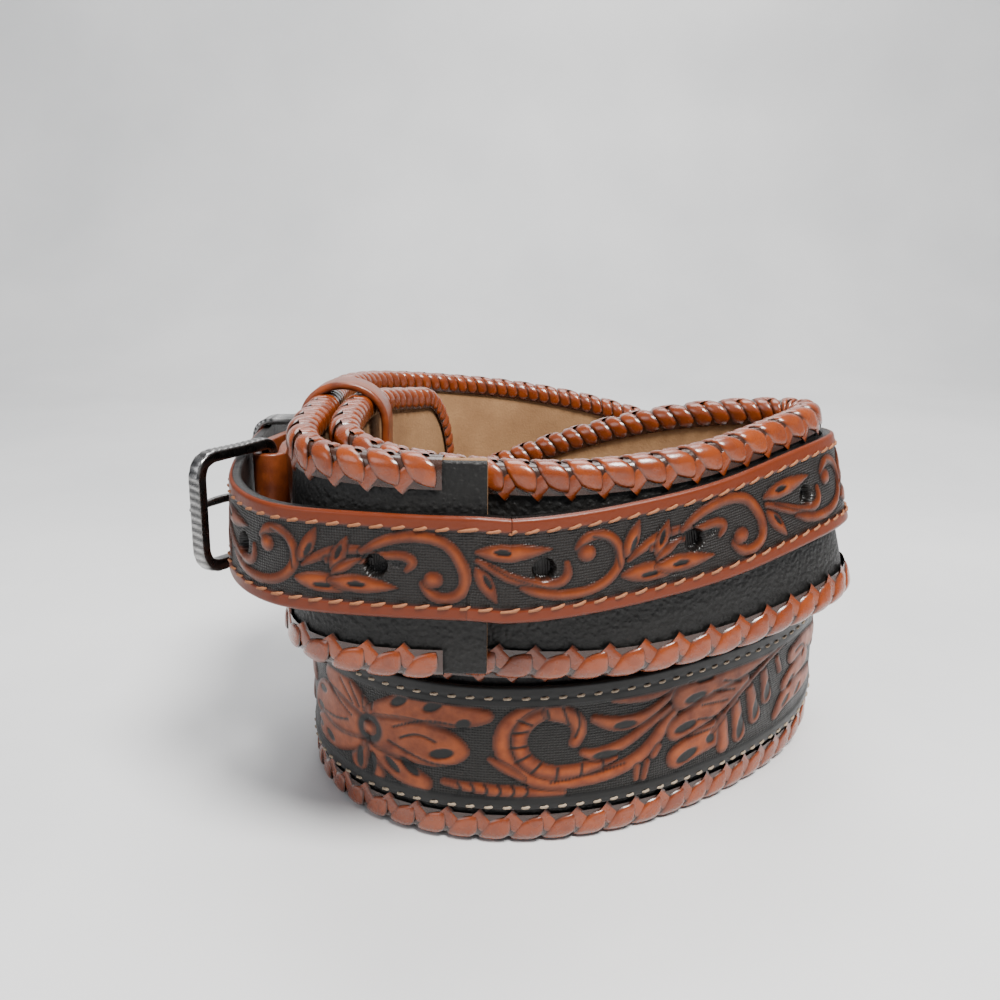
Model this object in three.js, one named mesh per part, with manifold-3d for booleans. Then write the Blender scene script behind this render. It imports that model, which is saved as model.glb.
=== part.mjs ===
import * as THREE from 'three';
import { mergeVertices } from 'three/addons/utils/BufferGeometryUtils.js';
import Module from 'manifold-3d';

const wasm = await Module();
wasm.setup();

// Driving sizes in millimetres.
const coilLength = 130;
const coilDepth = 122;
const bodyWidth = 39.7;
const bodyThickness = 1.7;
const liningThickness = 1.6;
const pieceGap = 0.3;
const laceThickness = 0.9;
const laceCoverOutside = 6;
const laceCoverInside = 4.9;
const laceEndBare = 7;
const tipLength = 14;
const layerClearance = 0.4;
const levelClearance = 1;
const overlayThickness = 1.2;
const overlayMargin = 1.2;
const strapWidth = 18;
const strapThickness = 2.2;
const strapHoleDiameter = 3.8;
const strapHolePitch = 28;
const strapHoleCount = 6;
const buckleStrapThickness = 1.8;
const frameBarWidth = 2.4;
const frameBarThickness = 3;
const heelBarDiameter = 2.6;
const frameLength = 20;
const prongThickness = 1.8;
const metalKeeperWall = 1.6;
const metalKeeperBand = 8;
const leatherKeeperWall = 1.6;
const leatherKeeperBand = 9;

// Derived sizes of the layers, measured outward from the middle of the belt.
const halfWidth = bodyWidth / 2;
const bodyInner = pieceGap / 2;
const bodyOuter = bodyInner + bodyThickness;
const liningOuter = -pieceGap / 2;
const liningInner = liningOuter - liningThickness;
const laceRoomOutside = bodyOuter + pieceGap;
const laceRoomInside = liningInner - pieceGap;
const laceOuter = laceRoomOutside + laceThickness;
const laceInner = laceRoomInside - laceThickness;
const layerPitch = laceOuter - laceInner + layerClearance;
const levelHeight = bodyWidth + levelClearance;
const edgeInset = laceThickness + pieceGap;
const footHalf = laceOuter - 1.2;
const overlayWidth = bodyWidth - 2 * (laceCoverOutside + overlayMargin);

// The coil from the rounded tip, once round inside, to the square end in front.
// Columns: across and away as shares of the coil, layers inward, rise in levels, lean in degrees.
const coilRows = [
  [-0.162, 0.221, 0, 0.937, 0],
  [-0.185, 0.172, 0, 0.942, 0],
  [-0.221, 0.107, 0, 0.956, -1],
  [-0.311, 0.029, 1, 0.993, -2],
  [-0.334, -0.086, 1, 1.029, -3],
  [-0.335, -0.188, 1, 1.039, -3.5],
  [-0.333, -0.296, 1, 1.024, -4],
  [-0.322, -0.379, 1, 0.994, -4],
  [-0.260, -0.450, 1, 0.955, -3],
  [-0.172, -0.472, 1, 0.921, -2],
  [-0.069, -0.485, 1, 0.902, -1],
  [0.034, -0.491, 1, 0.897, -2],
  [0.138, -0.477, 1, 0.911, -4],
  [0.240, -0.440, 1, 0.940, -4],
  [0.321, -0.392, 1, 0.975, -8],
  [0.401, -0.327, 1, 1.017, -12],
  [0.464, -0.258, 1, 1.039, -14],
  [0.496, -0.188, 1, 1.039, -14],
  [0.417, -0.110, 0, 1.027, -12],
  [0.350, -0.100, 0, 1.014, -8],
  [0.277, -0.098, 0, 0.992, -4],
  [0.192, -0.078, 0, 0.934, -2],
  [0.100, -0.049, 0, 0.837, 0],
  [0.000, -0.020, 0, 0.704, 0],
  [-0.141, -0.025, 1, 0.593, 0],
  [-0.197, -0.065, 1, 0.483, 0],
  [-0.227, -0.141, 1, 0.385, 0],
  [-0.216, -0.221, 1, 0.274, 0],
  [-0.164, -0.287, 1, 0.163, 0],
  [-0.055, -0.314, 1, 0.077, 0],
  [0.074, -0.309, 1, 0.023, 0],
  [0.191, -0.276, 1, 0.000, 0],
  [0.311, -0.199, 1, 0.000, 0],
  [0.405, -0.107, 1, 0.000, 0],
  [0.445, 0.000, 1, 0.000, 0],
  [0.432, 0.120, 1, 0.000, 0],
  [0.357, 0.250, 1, 0.000, 0],
  [0.253, 0.345, 1, 0.000, 0],
  [0.114, 0.403, 1, 0.000, 0],
  [-0.035, 0.425, 1, 0.000, 0],
  [-0.192, 0.399, 1, 0.000, 0],
  [-0.285, 0.254, 0, 0.000, 0],
  [-0.342, 0.115, 0, 0.000, 0],
  [-0.365, -0.025, 0, 0.000, 0],
  [-0.354, -0.135, 0, 0.000, -1],
  [-0.322, -0.225, 0, 0.000, -2],
  [-0.262, -0.305, 0, 0.000, -2.5],
  [-0.181, -0.359, 0, 0.000, -2.5],
  [-0.100, -0.382, 0, 0.000, -2.5],
  [-0.015, -0.386, 0, 0.000, -2.5],
  [0.069, -0.369, 0, 0.000, -2.5],
  [0.154, -0.337, 0, 0.000, -2.5],
  [0.242, -0.279, 0, 0.000, -2],
  [0.323, -0.214, 0, 0.000, -1],
  [0.398, -0.139, 0, 0.000, 0],
  [0.462, -0.049, 0, 0.018, 0],
  [0.498, 0.061, 0, 0.082, 0],
  [0.495, 0.189, 0, 0.225, 0],
  [0.438, 0.311, 0, 0.397, 0],
  [0.331, 0.402, 0, 0.557, 0],
  [0.208, 0.463, 0, 0.679, 0],
  [0.069, 0.496, 0, 0.778, 0],
  [-0.062, 0.496, 0, 0.846, 0],
  [-0.185, 0.451, 0, 0.898, 0],
  [-0.277, 0.365, 0, 0.952, 0],
  [-0.323, 0.254, 0, 0.996, 0],
  [-0.345, 0.123, 0, 1.026, 0],
  [-0.343, -0.025, 0, 1.035, -1],
  [-0.341, -0.156, 0, 1.041, -3],
  [-0.345, -0.254, 0, 1.034, -3.5],
  [-0.348, -0.336, 0, 1.014, -3.5],
  [-0.323, -0.420, 0, 0.982, -3.5],
  [-0.254, -0.470, 0, 0.972, -3],
  [-0.162, -0.486, 0, 0.969, 0],
  [-0.078, -0.488, 0, 0.967, 0],
];

// Parts of the belt's length, as shares measured from the rounded tip.
const overlayFrom = 0.276;
const overlayTo = 0.841;
const leatherKeeperAt = 0.9261;
const metalKeeperAt = 0.904;
const heelBarAt = 0.9326;

// The narrow strap, from its hidden end past the buckle and over the front to where it is sewn on.
// Columns: share of the belt's length, stand-off as a share of strapBulge,
// side shift as a share of the side room.
const strapBulge = 13.45;
const strapOverSquareEnd = [
  [0.8853, 0.98, 0],
  [0.8943, 0.98, 0],
  [0.9034, 1, 0],
  [0.912, 0.99, -0.04],
  [0.9205, 0.97, -0.12],
  [0.9281, 0.945, -0.16],
  [0.9351, 0.91, -0.16],
  [0.9417, 0.86, -0.16],
  [0.9472, 0.785, -0.16],
  [0.9527, 0.7, -0.15],
  [0.9582, 0.55, -0.12],
  [0.9632, 0.385, -0.05],
  [0.9688, 0.2, 0.08],
  [0.9743, 0.07, 0.18],
  [0.9804, 0.015, 0.23],
  [0.9864, 0, 0.25],
  [0.9919, 0.015, 0.26],
  [0.9975, 0.045, 0.28],
];
// The same strap beyond the square end. Columns: share of length, layers stood off, side shift.
const strapOverNextLayer = [
  [0.1109, 0.99, 0.62],
  [0.115, 0.88, 0.66],
  [0.1196, 0.69, 0.7],
  [0.1247, 0.47, 0.74],
  [0.13, 0.28, 0.78],
  [0.1361, 0.14, 0.84],
  [0.1428, 0.06, 0.88],
  [0.1493, 0.04, 0.92],
  [0.1557, 0.04, 0.96],
  [0.1619, 0.04, 0.98],
  [0.168, 0.04, 0.97],
  [0.1738, 0.04, 0.95],
  [0.1792, 0.04, 0.92],
  [0.1837, 0.04, 0.89],
  [0.1876, 0.06, 0.86],
  [0.191, 0.06, 0.84],
  [0.1948, 0.06, 0.82],
  [0.1996, 0.06, 0.8],
  [0.2065, 0.06, 0.8],
  [0.2144, 0.06, 0.8],
  [0.2225, 0.06, 0.8],
  [0.2296, 0.06, 0.8],
];

// The buckle strap, sewn to the belt and folded round the buckle's heel bar.
// Columns: share of the belt's length, stand-off as a share of heelStandOff.
const heelStandOff = 7.7;
const buckleStrapRows = [
  [0.8611, 0.04],
  [0.8672, 0.04],
  [0.8732, 0.04],
  [0.8792, 0.06],
  [0.8853, 0.14],
  [0.8913, 0.32],
  [0.8974, 0.52],
  [0.9034, 0.72],
  [0.9095, 0.9],
  [0.9155, 1.08],
  [0.9215, 1.22],
  [0.9271, 1.31],
];
const buckleStrapReturn = [
  [0.9271, 0.66],
  [0.9215, 0.62],
  [0.916, 0.52],
];

const belt = {};
const group = new THREE.Group();

// Cubic B-spline through rows of numbers: every column is blended alike, the ends are mirrored.
const smoothRows = (rows, steps) => {
  const mirror = (a, b) => a.map((value, k) => 2 * value - b[k]);
  const last = rows.length - 1;
  const padded = [mirror(rows[0], rows[1]), ...rows, mirror(rows[last], rows[last - 1])];
  const samples = [];
  for (let i = 0; i + 3 < padded.length; i += 1) {
    const count = i + 4 === padded.length ? steps + 1 : steps;
    for (let j = 0; j < count; j += 1) {
      const t = j / steps;
      const weights = [
        (1 - t) ** 3 / 6,
        (3 * t ** 3 - 6 * t ** 2 + 4) / 6,
        (-3 * t ** 3 + 3 * t ** 2 + 3 * t + 1) / 6,
        t ** 3 / 6,
      ];
      samples.push(rows[0].map((_, k) => weights.reduce((sum, w, m) => sum + w * padded[i + m][k], 0)));
    }
  }
  return samples;
};

// A rail from samples of position and lean: a length along, with travel, up and outward directions.
const makeRail = (samples) => {
  const points = samples.map((row) => new THREE.Vector3(row[0], row[1], row[2]));
  const lengths = [0];
  for (let i = 1; i < points.length; i += 1) {
    lengths.push(lengths[i - 1] + points[i].distanceTo(points[i - 1]));
  }
  const frames = points.map((point, i) => {
    const before = points[Math.max(0, i - 1)];
    const after = points[Math.min(points.length - 1, i + 1)];
    const travel = after.clone().sub(before).normalize();
    const level = new THREE.Vector3(travel.y, -travel.x, 0).normalize();
    const lean = samples[i][3];
    const up = new THREE.Vector3(0, 0, Math.cos(lean)).addScaledVector(level, Math.sin(lean));
    up.addScaledVector(travel, -up.dot(travel)).normalize();
    return { point, travel, up, out: travel.clone().cross(up) };
  });
  const total = lengths[lengths.length - 1];
  const at = (distance) => {
    const wanted = Math.min(Math.max(distance, 0), total);
    let i = 1;
    while (i < lengths.length - 1 && lengths[i] < wanted) {
      i += 1;
    }
    const share = (wanted - lengths[i - 1]) / (lengths[i] - lengths[i - 1]);
    const mix = (key) => frames[i - 1][key].clone().lerp(frames[i][key], share);
    return {
      point: mix('point'),
      travel: mix('travel').normalize(),
      up: mix('up').normalize(),
      out: mix('out').normalize(),
    };
  };
  const place = (distance, side, outward) => {
    const frame = at(distance);
    return frame.point.addScaledVector(frame.up, side).addScaledVector(frame.out, outward);
  };
  return { total, at, place };
};

// Distances along a rail, close where it turns or leans over and wide apart where it is straight.
const spacedStations = (rail, from, to, turnDegrees, widest) => {
  const turnLimit = THREE.MathUtils.degToRad(turnDegrees);
  const probe = 0.5;
  const stations = [from];
  let mark = rail.at(from);
  for (let distance = from + probe; distance < to - 2 * probe; distance += probe) {
    const frame = rail.at(distance);
    const turned = Math.max(frame.travel.angleTo(mark.travel), 3 * frame.up.angleTo(mark.up));
    if (turned > turnLimit || distance - stations[stations.length - 1] > widest) {
      stations.push(distance);
      mark = frame;
    }
  }
  stations.push(to);
  return stations;
};

// Joins rings of points of equal count into a closed solid, capped by the flat outline or joined end to end.
// Each four-sided face is split from its lower rank here to its higher rank on the next ring.
const solidFromRings = (rings, outline, ranks = [], looped = false) => {
  const perRing = rings[0].length;
  const triangles = [];
  const joins = looped ? rings.length : rings.length - 1;
  for (let i = 0; i < joins; i += 1) {
    const here = i * perRing;
    const next = ((i + 1) % rings.length) * perRing;
    for (let j = 0; j < perRing; j += 1) {
      const k = (j + 1) % perRing;
      if ((ranks[j] ?? 0) <= (ranks[k] ?? 0)) {
        triangles.push([here + j, next + j, next + k], [here + j, next + k, here + k]);
      } else {
        triangles.push([here + j, next + j, here + k], [next + j, next + k, here + k]);
      }
    }
  }
  if (!looped) {
    const flat = outline.map(([a, b]) => new THREE.Vector2(a, b));
    const facing = Math.sign(THREE.ShapeUtils.area(flat));
    const end = (rings.length - 1) * perRing;
    for (const [a, b, c] of THREE.ShapeUtils.triangulateShape(flat, [])) {
      const agrees = Math.sign(THREE.ShapeUtils.area([flat[a], flat[b], flat[c]])) === facing;
      const first = agrees ? [a, b, c] : [a, c, b];
      triangles.push(first);
      triangles.push([end + first[0], end + first[2], end + first[1]]);
    }
  }
  const points = rings.flat();
  const volume = triangles.reduce((sum, [a, b, c]) => (
    sum + points[a].dot(points[b].clone().cross(points[c]))
  ), 0);
  const ordered = volume < 0 ? triangles.map(([a, b, c]) => [a, c, b]) : triangles;
  const geometry = new THREE.BufferGeometry();
  geometry.setAttribute('position', new THREE.Float32BufferAttribute(points.flatMap((p) => p.toArray()), 3));
  geometry.setIndex(ordered.flat());
  return geometry;
};

// Sweeps an outline of [side, outward] pairs along a rail.
const sweep = (rail, stations, outlineAt) => {
  const rings = stations.map((distance, i) => (
    outlineAt(distance, i).map(([side, outward]) => rail.place(distance, side, outward))
  ));
  const outline = outlineAt(stations[0], 0);
  return solidFromRings(rings, outline, outline.map(([side]) => side));
};

// A flat band round a rounded rectangle: a loop of given inner size, wall and depth.
const loopBand = (centre, axes, inner, wall, depth, cornerRadius) => {
  const rings = [];
  const cornerSteps = 3;
  const corners = [[1, 1, 0], [-1, 1, 90], [-1, -1, 180], [1, -1, 270]];
  for (const [signA, signB, startAngle] of corners) {
    for (let i = 0; i <= cornerSteps; i += 1) {
      const angle = THREE.MathUtils.degToRad(startAngle + (90 * i) / cornerSteps);
      const cornerA = signA * (inner[0] / 2 - cornerRadius);
      const cornerB = signB * (inner[1] / 2 - cornerRadius);
      const spot = (radius, along) => centre.clone()
        .addScaledVector(axes.a, cornerA + radius * Math.cos(angle))
        .addScaledVector(axes.b, cornerB + radius * Math.sin(angle))
        .addScaledVector(axes.depth, along);
      const crown = wall * 0.25;
      rings.push([
        spot(cornerRadius, -depth / 2),
        spot(cornerRadius + wall - crown, -depth / 2),
        spot(cornerRadius + wall, -depth / 2 + crown * 2),
        spot(cornerRadius + wall, depth / 2 - crown * 2),
        spot(cornerRadius + wall - crown, depth / 2),
        spot(cornerRadius, depth / 2),
      ]);
    }
  }
  return solidFromRings(rings, null, [], true);
};

const toManifold = (geometry) => new wasm.Manifold(new wasm.Mesh({
  numProp: 3,
  vertProperties: new Float32Array(geometry.attributes.position.array),
  triVerts: new Uint32Array(geometry.index.array),
}));

const fromManifold = (solid) => {
  const mesh = solid.getMesh();
  const geometry = new THREE.BufferGeometry();
  geometry.setAttribute('position', new THREE.BufferAttribute(mesh.vertProperties, 3));
  geometry.setIndex(Array.from(mesh.triVerts));
  return geometry;
};

const addPiece = (name, geometry, color, roughness, metalness = 0) => {
  const material = new THREE.MeshStandardMaterial({ color, roughness, metalness });
  const mesh = new THREE.Mesh(geometry, material);
  mesh.name = name;
  group.add(mesh);
};

// The belt's rail: the middle of its width, between the body leather and the lining.
const coilControls = coilRows.map(([across, away, layers, rise, leanDegrees]) => {
  const outline = new THREE.Vector2(across * coilLength, away * coilDepth);
  const inward = outline.clone().normalize().multiplyScalar(layers * layerPitch);
  const lean = THREE.MathUtils.degToRad(leanDegrees);
  const height = rise * levelHeight + halfWidth * Math.cos(lean) + footHalf * Math.abs(Math.sin(lean));
  return [outline.x - inward.x, outline.y - inward.y, height, lean];
});
belt.rail = makeRail(smoothRows(coilControls, 16));
const beltLength = belt.rail.total;
const beltStations = spacedStations(belt.rail, tipLength, beltLength - laceEndBare, 9.1, 14);

// The rounded tip: an ellipse in the belt's surface, set in by a margin.
const tipSpot = (angle, margin) => {
  const along = new THREE.Vector2(Math.cos(angle) / tipLength, -Math.sin(angle) / halfWidth).normalize();
  return {
    distance: tipLength * (1 - Math.cos(angle)) + margin * along.x,
    side: halfWidth * Math.sin(angle) + margin * along.y,
    inward: along,
  };
};
const tipSteps = 6;

// Body leather and lining: flat layers that stop inside the lacing and run bare to the square end.
const layerSolid = (inner, outer) => {
  const sections = [];
  for (let i = 1; i <= tipSteps; i += 1) {
    const spot = tipSpot((Math.PI / 2) * (i / tipSteps), edgeInset);
    sections.push([spot.distance, spot.side]);
  }
  for (const distance of [...beltStations.slice(1), beltLength]) {
    sections.push([distance, halfWidth - edgeInset]);
  }
  const outline = (half) => [[-half, inner], [-half, outer], [half, outer], [half, inner]];
  const rings = sections.map(([distance, half]) => (
    outline(half).map(([side, outward]) => belt.rail.place(distance, side, outward))
  ));
  return solidFromRings(rings, outline(1), outline(1).map(([side]) => side));
};
addPiece('belt_body', layerSolid(bodyInner, bodyOuter), 0x17140f, 0.5);
addPiece('belt_lining', layerSolid(liningInner, liningOuter), 0xb08355, 0.8);

// Edge lacing: a braid over each edge, from the middle of the rounded tip to the square end.
// Columns: outward from the middle, inward from the edge.
const braidOutline = [
  [laceOuter, laceCoverOutside],
  [laceOuter, laceCoverOutside * 0.28],
  [footHalf, 0],
  [laceInner + 1.2, 0],
  [laceInner, laceCoverOutside * 0.28],
  [laceInner, laceCoverInside],
  [laceRoomInside, laceCoverInside],
  [laceRoomInside, laceThickness],
  [laceRoomOutside, laceThickness],
  [laceRoomOutside, laceCoverOutside],
];
// The upper and the lower edge are laced apart: their braids meet at the middle of the tip.
const tipMeeting = pieceGap / 2 / halfWidth;
const lacingAlong = (edge) => {
  const spots = [];
  for (let i = 0; i < tipSteps; i += 1) {
    spots.push(tipSpot(edge * Math.max((Math.PI / 2) * (i / tipSteps), tipMeeting), 0));
  }
  for (const distance of beltStations) {
    spots.push({ distance, side: edge * halfWidth, inward: new THREE.Vector2(0, -edge) });
  }
  const rings = spots.map(({ distance, side, inward }) => braidOutline.map(([outward, depth]) => (
    belt.rail.place(distance + inward.x * depth, side + inward.y * depth, outward)
  )));
  return solidFromRings(rings, braidOutline, braidOutline.map(([, depth]) => -depth));
};
addPiece('upper_lacing', lacingAlong(1), 0xa8501c, 0.35);
addPiece('lower_lacing', lacingAlong(-1), 0xa8501c, 0.35);

// Tooled overlay: a strip along the middle of the belt's outer face.
const overlayOutline = () => {
  const inner = laceRoomOutside;
  const outer = laceRoomOutside + overlayThickness;
  const half = overlayWidth / 2;
  return [[-half, inner], [-half, outer], [half, outer], [half, inner]];
};
const overlayStations = beltStations.filter((distance) => (
  distance > overlayFrom * beltLength && distance < overlayTo * beltLength
));
addPiece('tooled_overlay', sweep(belt.rail, overlayStations, overlayOutline), 0x8c3d17, 0.5);

// The narrow strap's rail, standing off the layer that it crosses.
const strapRest = laceRoomOutside + strapThickness / 2;
const sideRoom = halfWidth - laceCoverOutside - strapWidth / 2 - pieceGap;
const besideBelt = (share, shift, outward) => {
  const frame = belt.rail.at(share * beltLength);
  const spot = belt.rail.place(share * beltLength, shift, outward);
  const level = new THREE.Vector3(frame.travel.y, -frame.travel.x, 0).normalize();
  return [spot.x, spot.y, spot.z, Math.asin(frame.up.dot(level))];
};
const strapRail = makeRail([
  ...smoothRows(strapOverSquareEnd, 6).map(([share, lift, shift]) => (
    besideBelt(share, shift * sideRoom, strapRest + lift * strapBulge)
  )),
  ...smoothRows(strapOverNextLayer, 6).map(([share, layers, shift]) => (
    besideBelt(share, shift * sideRoom, strapRest + layers * layerPitch)
  )),
]);
const strapStations = spacedStations(strapRail, 0, strapRail.total, 9, 14);
const strapOutline = (half, thickness) => {
  const bevel = thickness * 0.3;
  return [
    [-half, -thickness / 2],
    [-half, thickness / 2 - bevel],
    [bevel - half, thickness / 2],
    [half - bevel, thickness / 2],
    [half, thickness / 2 - bevel],
    [half, -thickness / 2],
  ];
};
const strapBlank = sweep(strapRail, strapStations, () => strapOutline(strapWidth / 2, strapThickness));
const holeCutter = (distance) => {
  const frame = strapRail.at(distance);
  const radius = strapHoleDiameter / 2;
  const cutter = new THREE.CylinderGeometry(radius, radius, strapThickness * 3, 16);
  cutter.deleteAttribute('normal');
  cutter.deleteAttribute('uv');
  const merged = mergeVertices(cutter);
  const turn = new THREE.Quaternion().setFromUnitVectors(new THREE.Vector3(0, 1, 0), frame.out);
  merged.applyQuaternion(turn);
  merged.translate(frame.point.x, frame.point.y, frame.point.z);
  return toManifold(merged);
};
const heelFrame = belt.rail.at(heelBarAt * beltLength);
const heelOut = laceRoomOutside + 1.07 * heelStandOff;
const heelCentre = belt.rail.place(heelBarAt * beltLength, -0.22 * sideRoom, heelOut);
const prongCrossing = heelCentre.clone()
  .addScaledVector(heelFrame.travel, 3)
  .addScaledVector(heelFrame.out, 5);
const awayFromProng = (distance) => strapRail.at(distance).point.distanceTo(prongCrossing);
let prongHoleAt = 0;
for (let distance = 0; distance < strapRail.total / 2; distance += 0.1) {
  if (awayFromProng(distance) < awayFromProng(prongHoleAt)) {
    prongHoleAt = distance;
  }
}
const holePlaces = Array.from({ length: strapHoleCount }, (_, k) => prongHoleAt + k * strapHolePitch);
const punch = (solid, place) => solid.subtract(holeCutter(place));
const strapSolid = holePlaces.reduce(punch, toManifold(strapBlank));
addPiece('billet_strap', fromManifold(strapSolid), 0x7a3216, 0.4);

// Buckle strap: along the belt, out to the heel bar, round it and a little way back.
const foldRadius = heelBarDiameter / 2 + pieceGap + buckleStrapThickness / 2;
const buckleStrapRest = laceRoomOutside + buckleStrapThickness / 2;
const buckleStrapSpot = ([share, lift]) => besideBelt(share, 0, buckleStrapRest + lift * heelStandOff);
const foldControls = [90, 50, 10, -30, -70, -90].map((degrees) => {
  const angle = THREE.MathUtils.degToRad(degrees);
  const spot = heelCentre.clone()
    .addScaledVector(heelFrame.travel, foldRadius * 1.1 * Math.cos(angle))
    .addScaledVector(heelFrame.out, foldRadius * 1.1 * Math.sin(angle));
  return [spot.x, spot.y, spot.z, 0];
});
const buckleStrapAlong = smoothRows(buckleStrapRows, 6).map(buckleStrapSpot);
const buckleStrapRail = makeRail([
  ...buckleStrapAlong,
  ...smoothRows([buckleStrapAlong[buckleStrapAlong.length - 1], ...foldControls,
    ...buckleStrapReturn.map(buckleStrapSpot)], 8).slice(1),
]);
const buckleStrapStations = spacedStations(buckleStrapRail, 0, buckleStrapRail.total, 14, 14);
const buckleStrapBlank = sweep(
  buckleStrapRail,
  buckleStrapStations,
  () => strapOutline(strapWidth / 2, buckleStrapThickness),
);
const slotSize = new THREE.BoxGeometry(foldRadius * 4, foldRadius * 2.6, prongThickness + 4 * pieceGap);
slotSize.deleteAttribute('normal');
slotSize.deleteAttribute('uv');
const slotCutter = mergeVertices(slotSize);
slotCutter.translate(heelCentre.x, heelCentre.y, heelCentre.z);
const buckleStrapSolid = toManifold(buckleStrapBlank).subtract(toManifold(slotCutter));
addPiece('buckle_strap', fromManifold(buckleStrapSolid), 0x5b2712, 0.5);

// Buckle frame: an end rail, two side bars and a slim heel bar inside the fold.
const frameSwing = THREE.MathUtils.degToRad(29);
const frameAlong = heelFrame.travel.clone().multiplyScalar(Math.cos(frameSwing))
  .addScaledVector(heelFrame.out, Math.sin(frameSwing)).normalize();
const frameUp = new THREE.Vector3(0, 0, 1).addScaledVector(frameAlong, -frameAlong.z).normalize();
const frameOut = frameAlong.clone().cross(frameUp);
const openingHalf = strapWidth / 2 + 2 * pieceGap;
// Columns: along from the heel bar, up, half bar width, half bar thickness.
const cornerCut = 3.2;
const upReach = openingHalf + frameBarWidth / 2;
const heelReach = openingHalf + heelBarDiameter / 2;
const halfFrame = [
  [0, 0, heelBarDiameter / 2, heelBarDiameter / 2],
  [0, heelReach - 1.6, heelBarDiameter / 2, heelBarDiameter / 2],
  [0.5, heelReach - 0.5, heelBarDiameter / 2, heelBarDiameter / 2],
  [1.6, heelReach, heelBarDiameter / 2, heelBarDiameter / 2],
  [frameLength * 0.45, (upReach + heelReach) / 2, frameBarWidth * 0.46, frameBarThickness * 0.48],
  [frameLength - cornerCut, upReach, frameBarWidth / 2, frameBarThickness / 2],
  [frameLength - cornerCut * 0.3, upReach - cornerCut * 0.3, frameBarWidth / 2, frameBarThickness / 2],
  [frameLength, upReach - cornerCut, frameBarWidth / 2, frameBarThickness / 2],
];
const otherHalf = halfFrame.slice(1).reverse().map(([along, up, half, thick]) => [along, -up, half, thick]);
const frameLoop = [...halfFrame, [frameLength, 0, frameBarWidth / 2, frameBarThickness / 2], ...otherHalf];
const frameMiddle = new THREE.Vector2(frameLength / 2, 0);
const frameRings = frameLoop.map(([along, up, half, thick], i) => {
  const before = frameLoop[(i + frameLoop.length - 1) % frameLoop.length];
  const after = frameLoop[(i + 1) % frameLoop.length];
  const heading = new THREE.Vector2(after[0] - before[0], after[1] - before[1]).normalize();
  const aside = new THREE.Vector2(heading.y, -heading.x);
  if (aside.dot(new THREE.Vector2(along, up).sub(frameMiddle)) < 0) {
    aside.negate();
  }
  const section = [0, 1, 2, 3, 4, 5, 6, 7].map((k) => {
    const angle = ((k + 0.5) * Math.PI) / 4;
    const stretch = 1 / Math.cos(Math.PI / 8);
    return [half * stretch * Math.cos(angle), thick * stretch * Math.sin(angle)];
  });
  return section.map(([outwards, outOfPlane]) => heelCentre.clone()
    .addScaledVector(frameAlong, along + aside.x * outwards)
    .addScaledVector(frameUp, up + aside.y * outwards)
    .addScaledVector(frameOut, outOfPlane));
});
addPiece('buckle_frame', solidFromRings(frameRings, null, [], true), 0x3b3d40, 0.3, 1);

// Prong: hooked round the heel bar, out through the strap's hole and on to the end rail.
// Columns: along the travel from the heel bar, outward from it.
const hookRadius = heelBarDiameter / 2 + pieceGap + prongThickness / 2;
const hook = [-20, -55, -90, -125, -160, 165, 130, 100].map((degrees) => {
  const angle = THREE.MathUtils.degToRad(degrees);
  return [hookRadius * 1.05 * Math.cos(angle), hookRadius * 1.05 * Math.sin(angle)];
});
const railTop = [
  0.94 * frameLength * Math.cos(frameSwing) - (frameBarThickness / 2 + prongThickness) * Math.sin(frameSwing),
  0.94 * frameLength * Math.sin(frameSwing) + (frameBarThickness / 2 + prongThickness) * Math.cos(frameSwing),
];
const prongRows = [
  ...hook,
  [1.8, hookRadius + 0.2],
  [3, hookRadius + 1.2],
  [3, hookRadius + 3.6],
  [4.4, hookRadius + 5.8],
  [railTop[0] * 0.62, railTop[1] * 0.88],
  railTop,
];
const prongRail = makeRail(smoothRows(prongRows.map(([along, outward]) => {
  const spot = heelCentre.clone()
    .addScaledVector(heelFrame.travel, along)
    .addScaledVector(heelFrame.out, outward);
  return [spot.x, spot.y, spot.z, 0];
}), 6));
const prongStations = spacedStations(prongRail, 0, prongRail.total, 20, 8);
const prongOutline = () => [0, 1, 2, 3, 4, 5, 6, 7].map((k) => {
  const angle = ((k + 0.5) * Math.PI) / 4;
  return [(prongThickness / 2) * Math.cos(angle), (prongThickness / 2) * Math.sin(angle)];
});
addPiece('buckle_prong', sweep(prongRail, prongStations, prongOutline), 0x45474a, 0.3, 1);

// Metal keeper: a band round the buckle strap and the narrow strap.
const axesAt = (share) => {
  const frame = belt.rail.at(share * beltLength);
  return { a: frame.out, b: frame.up, depth: frame.travel };
};
const metalInner = laceOuter + pieceGap + metalKeeperWall;
const metalOuter = strapRest + strapBulge + strapThickness / 2 + 2 * pieceGap;
addPiece('metal_keeper', loopBand(
  belt.rail.place(metalKeeperAt * beltLength, 0, (metalInner + metalOuter) / 2),
  axesAt(metalKeeperAt),
  [metalOuter - metalInner, strapWidth + 4 * pieceGap],
  metalKeeperWall,
  metalKeeperBand,
  1.6,
), 0x3b3d40, 0.3, 1);

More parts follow.
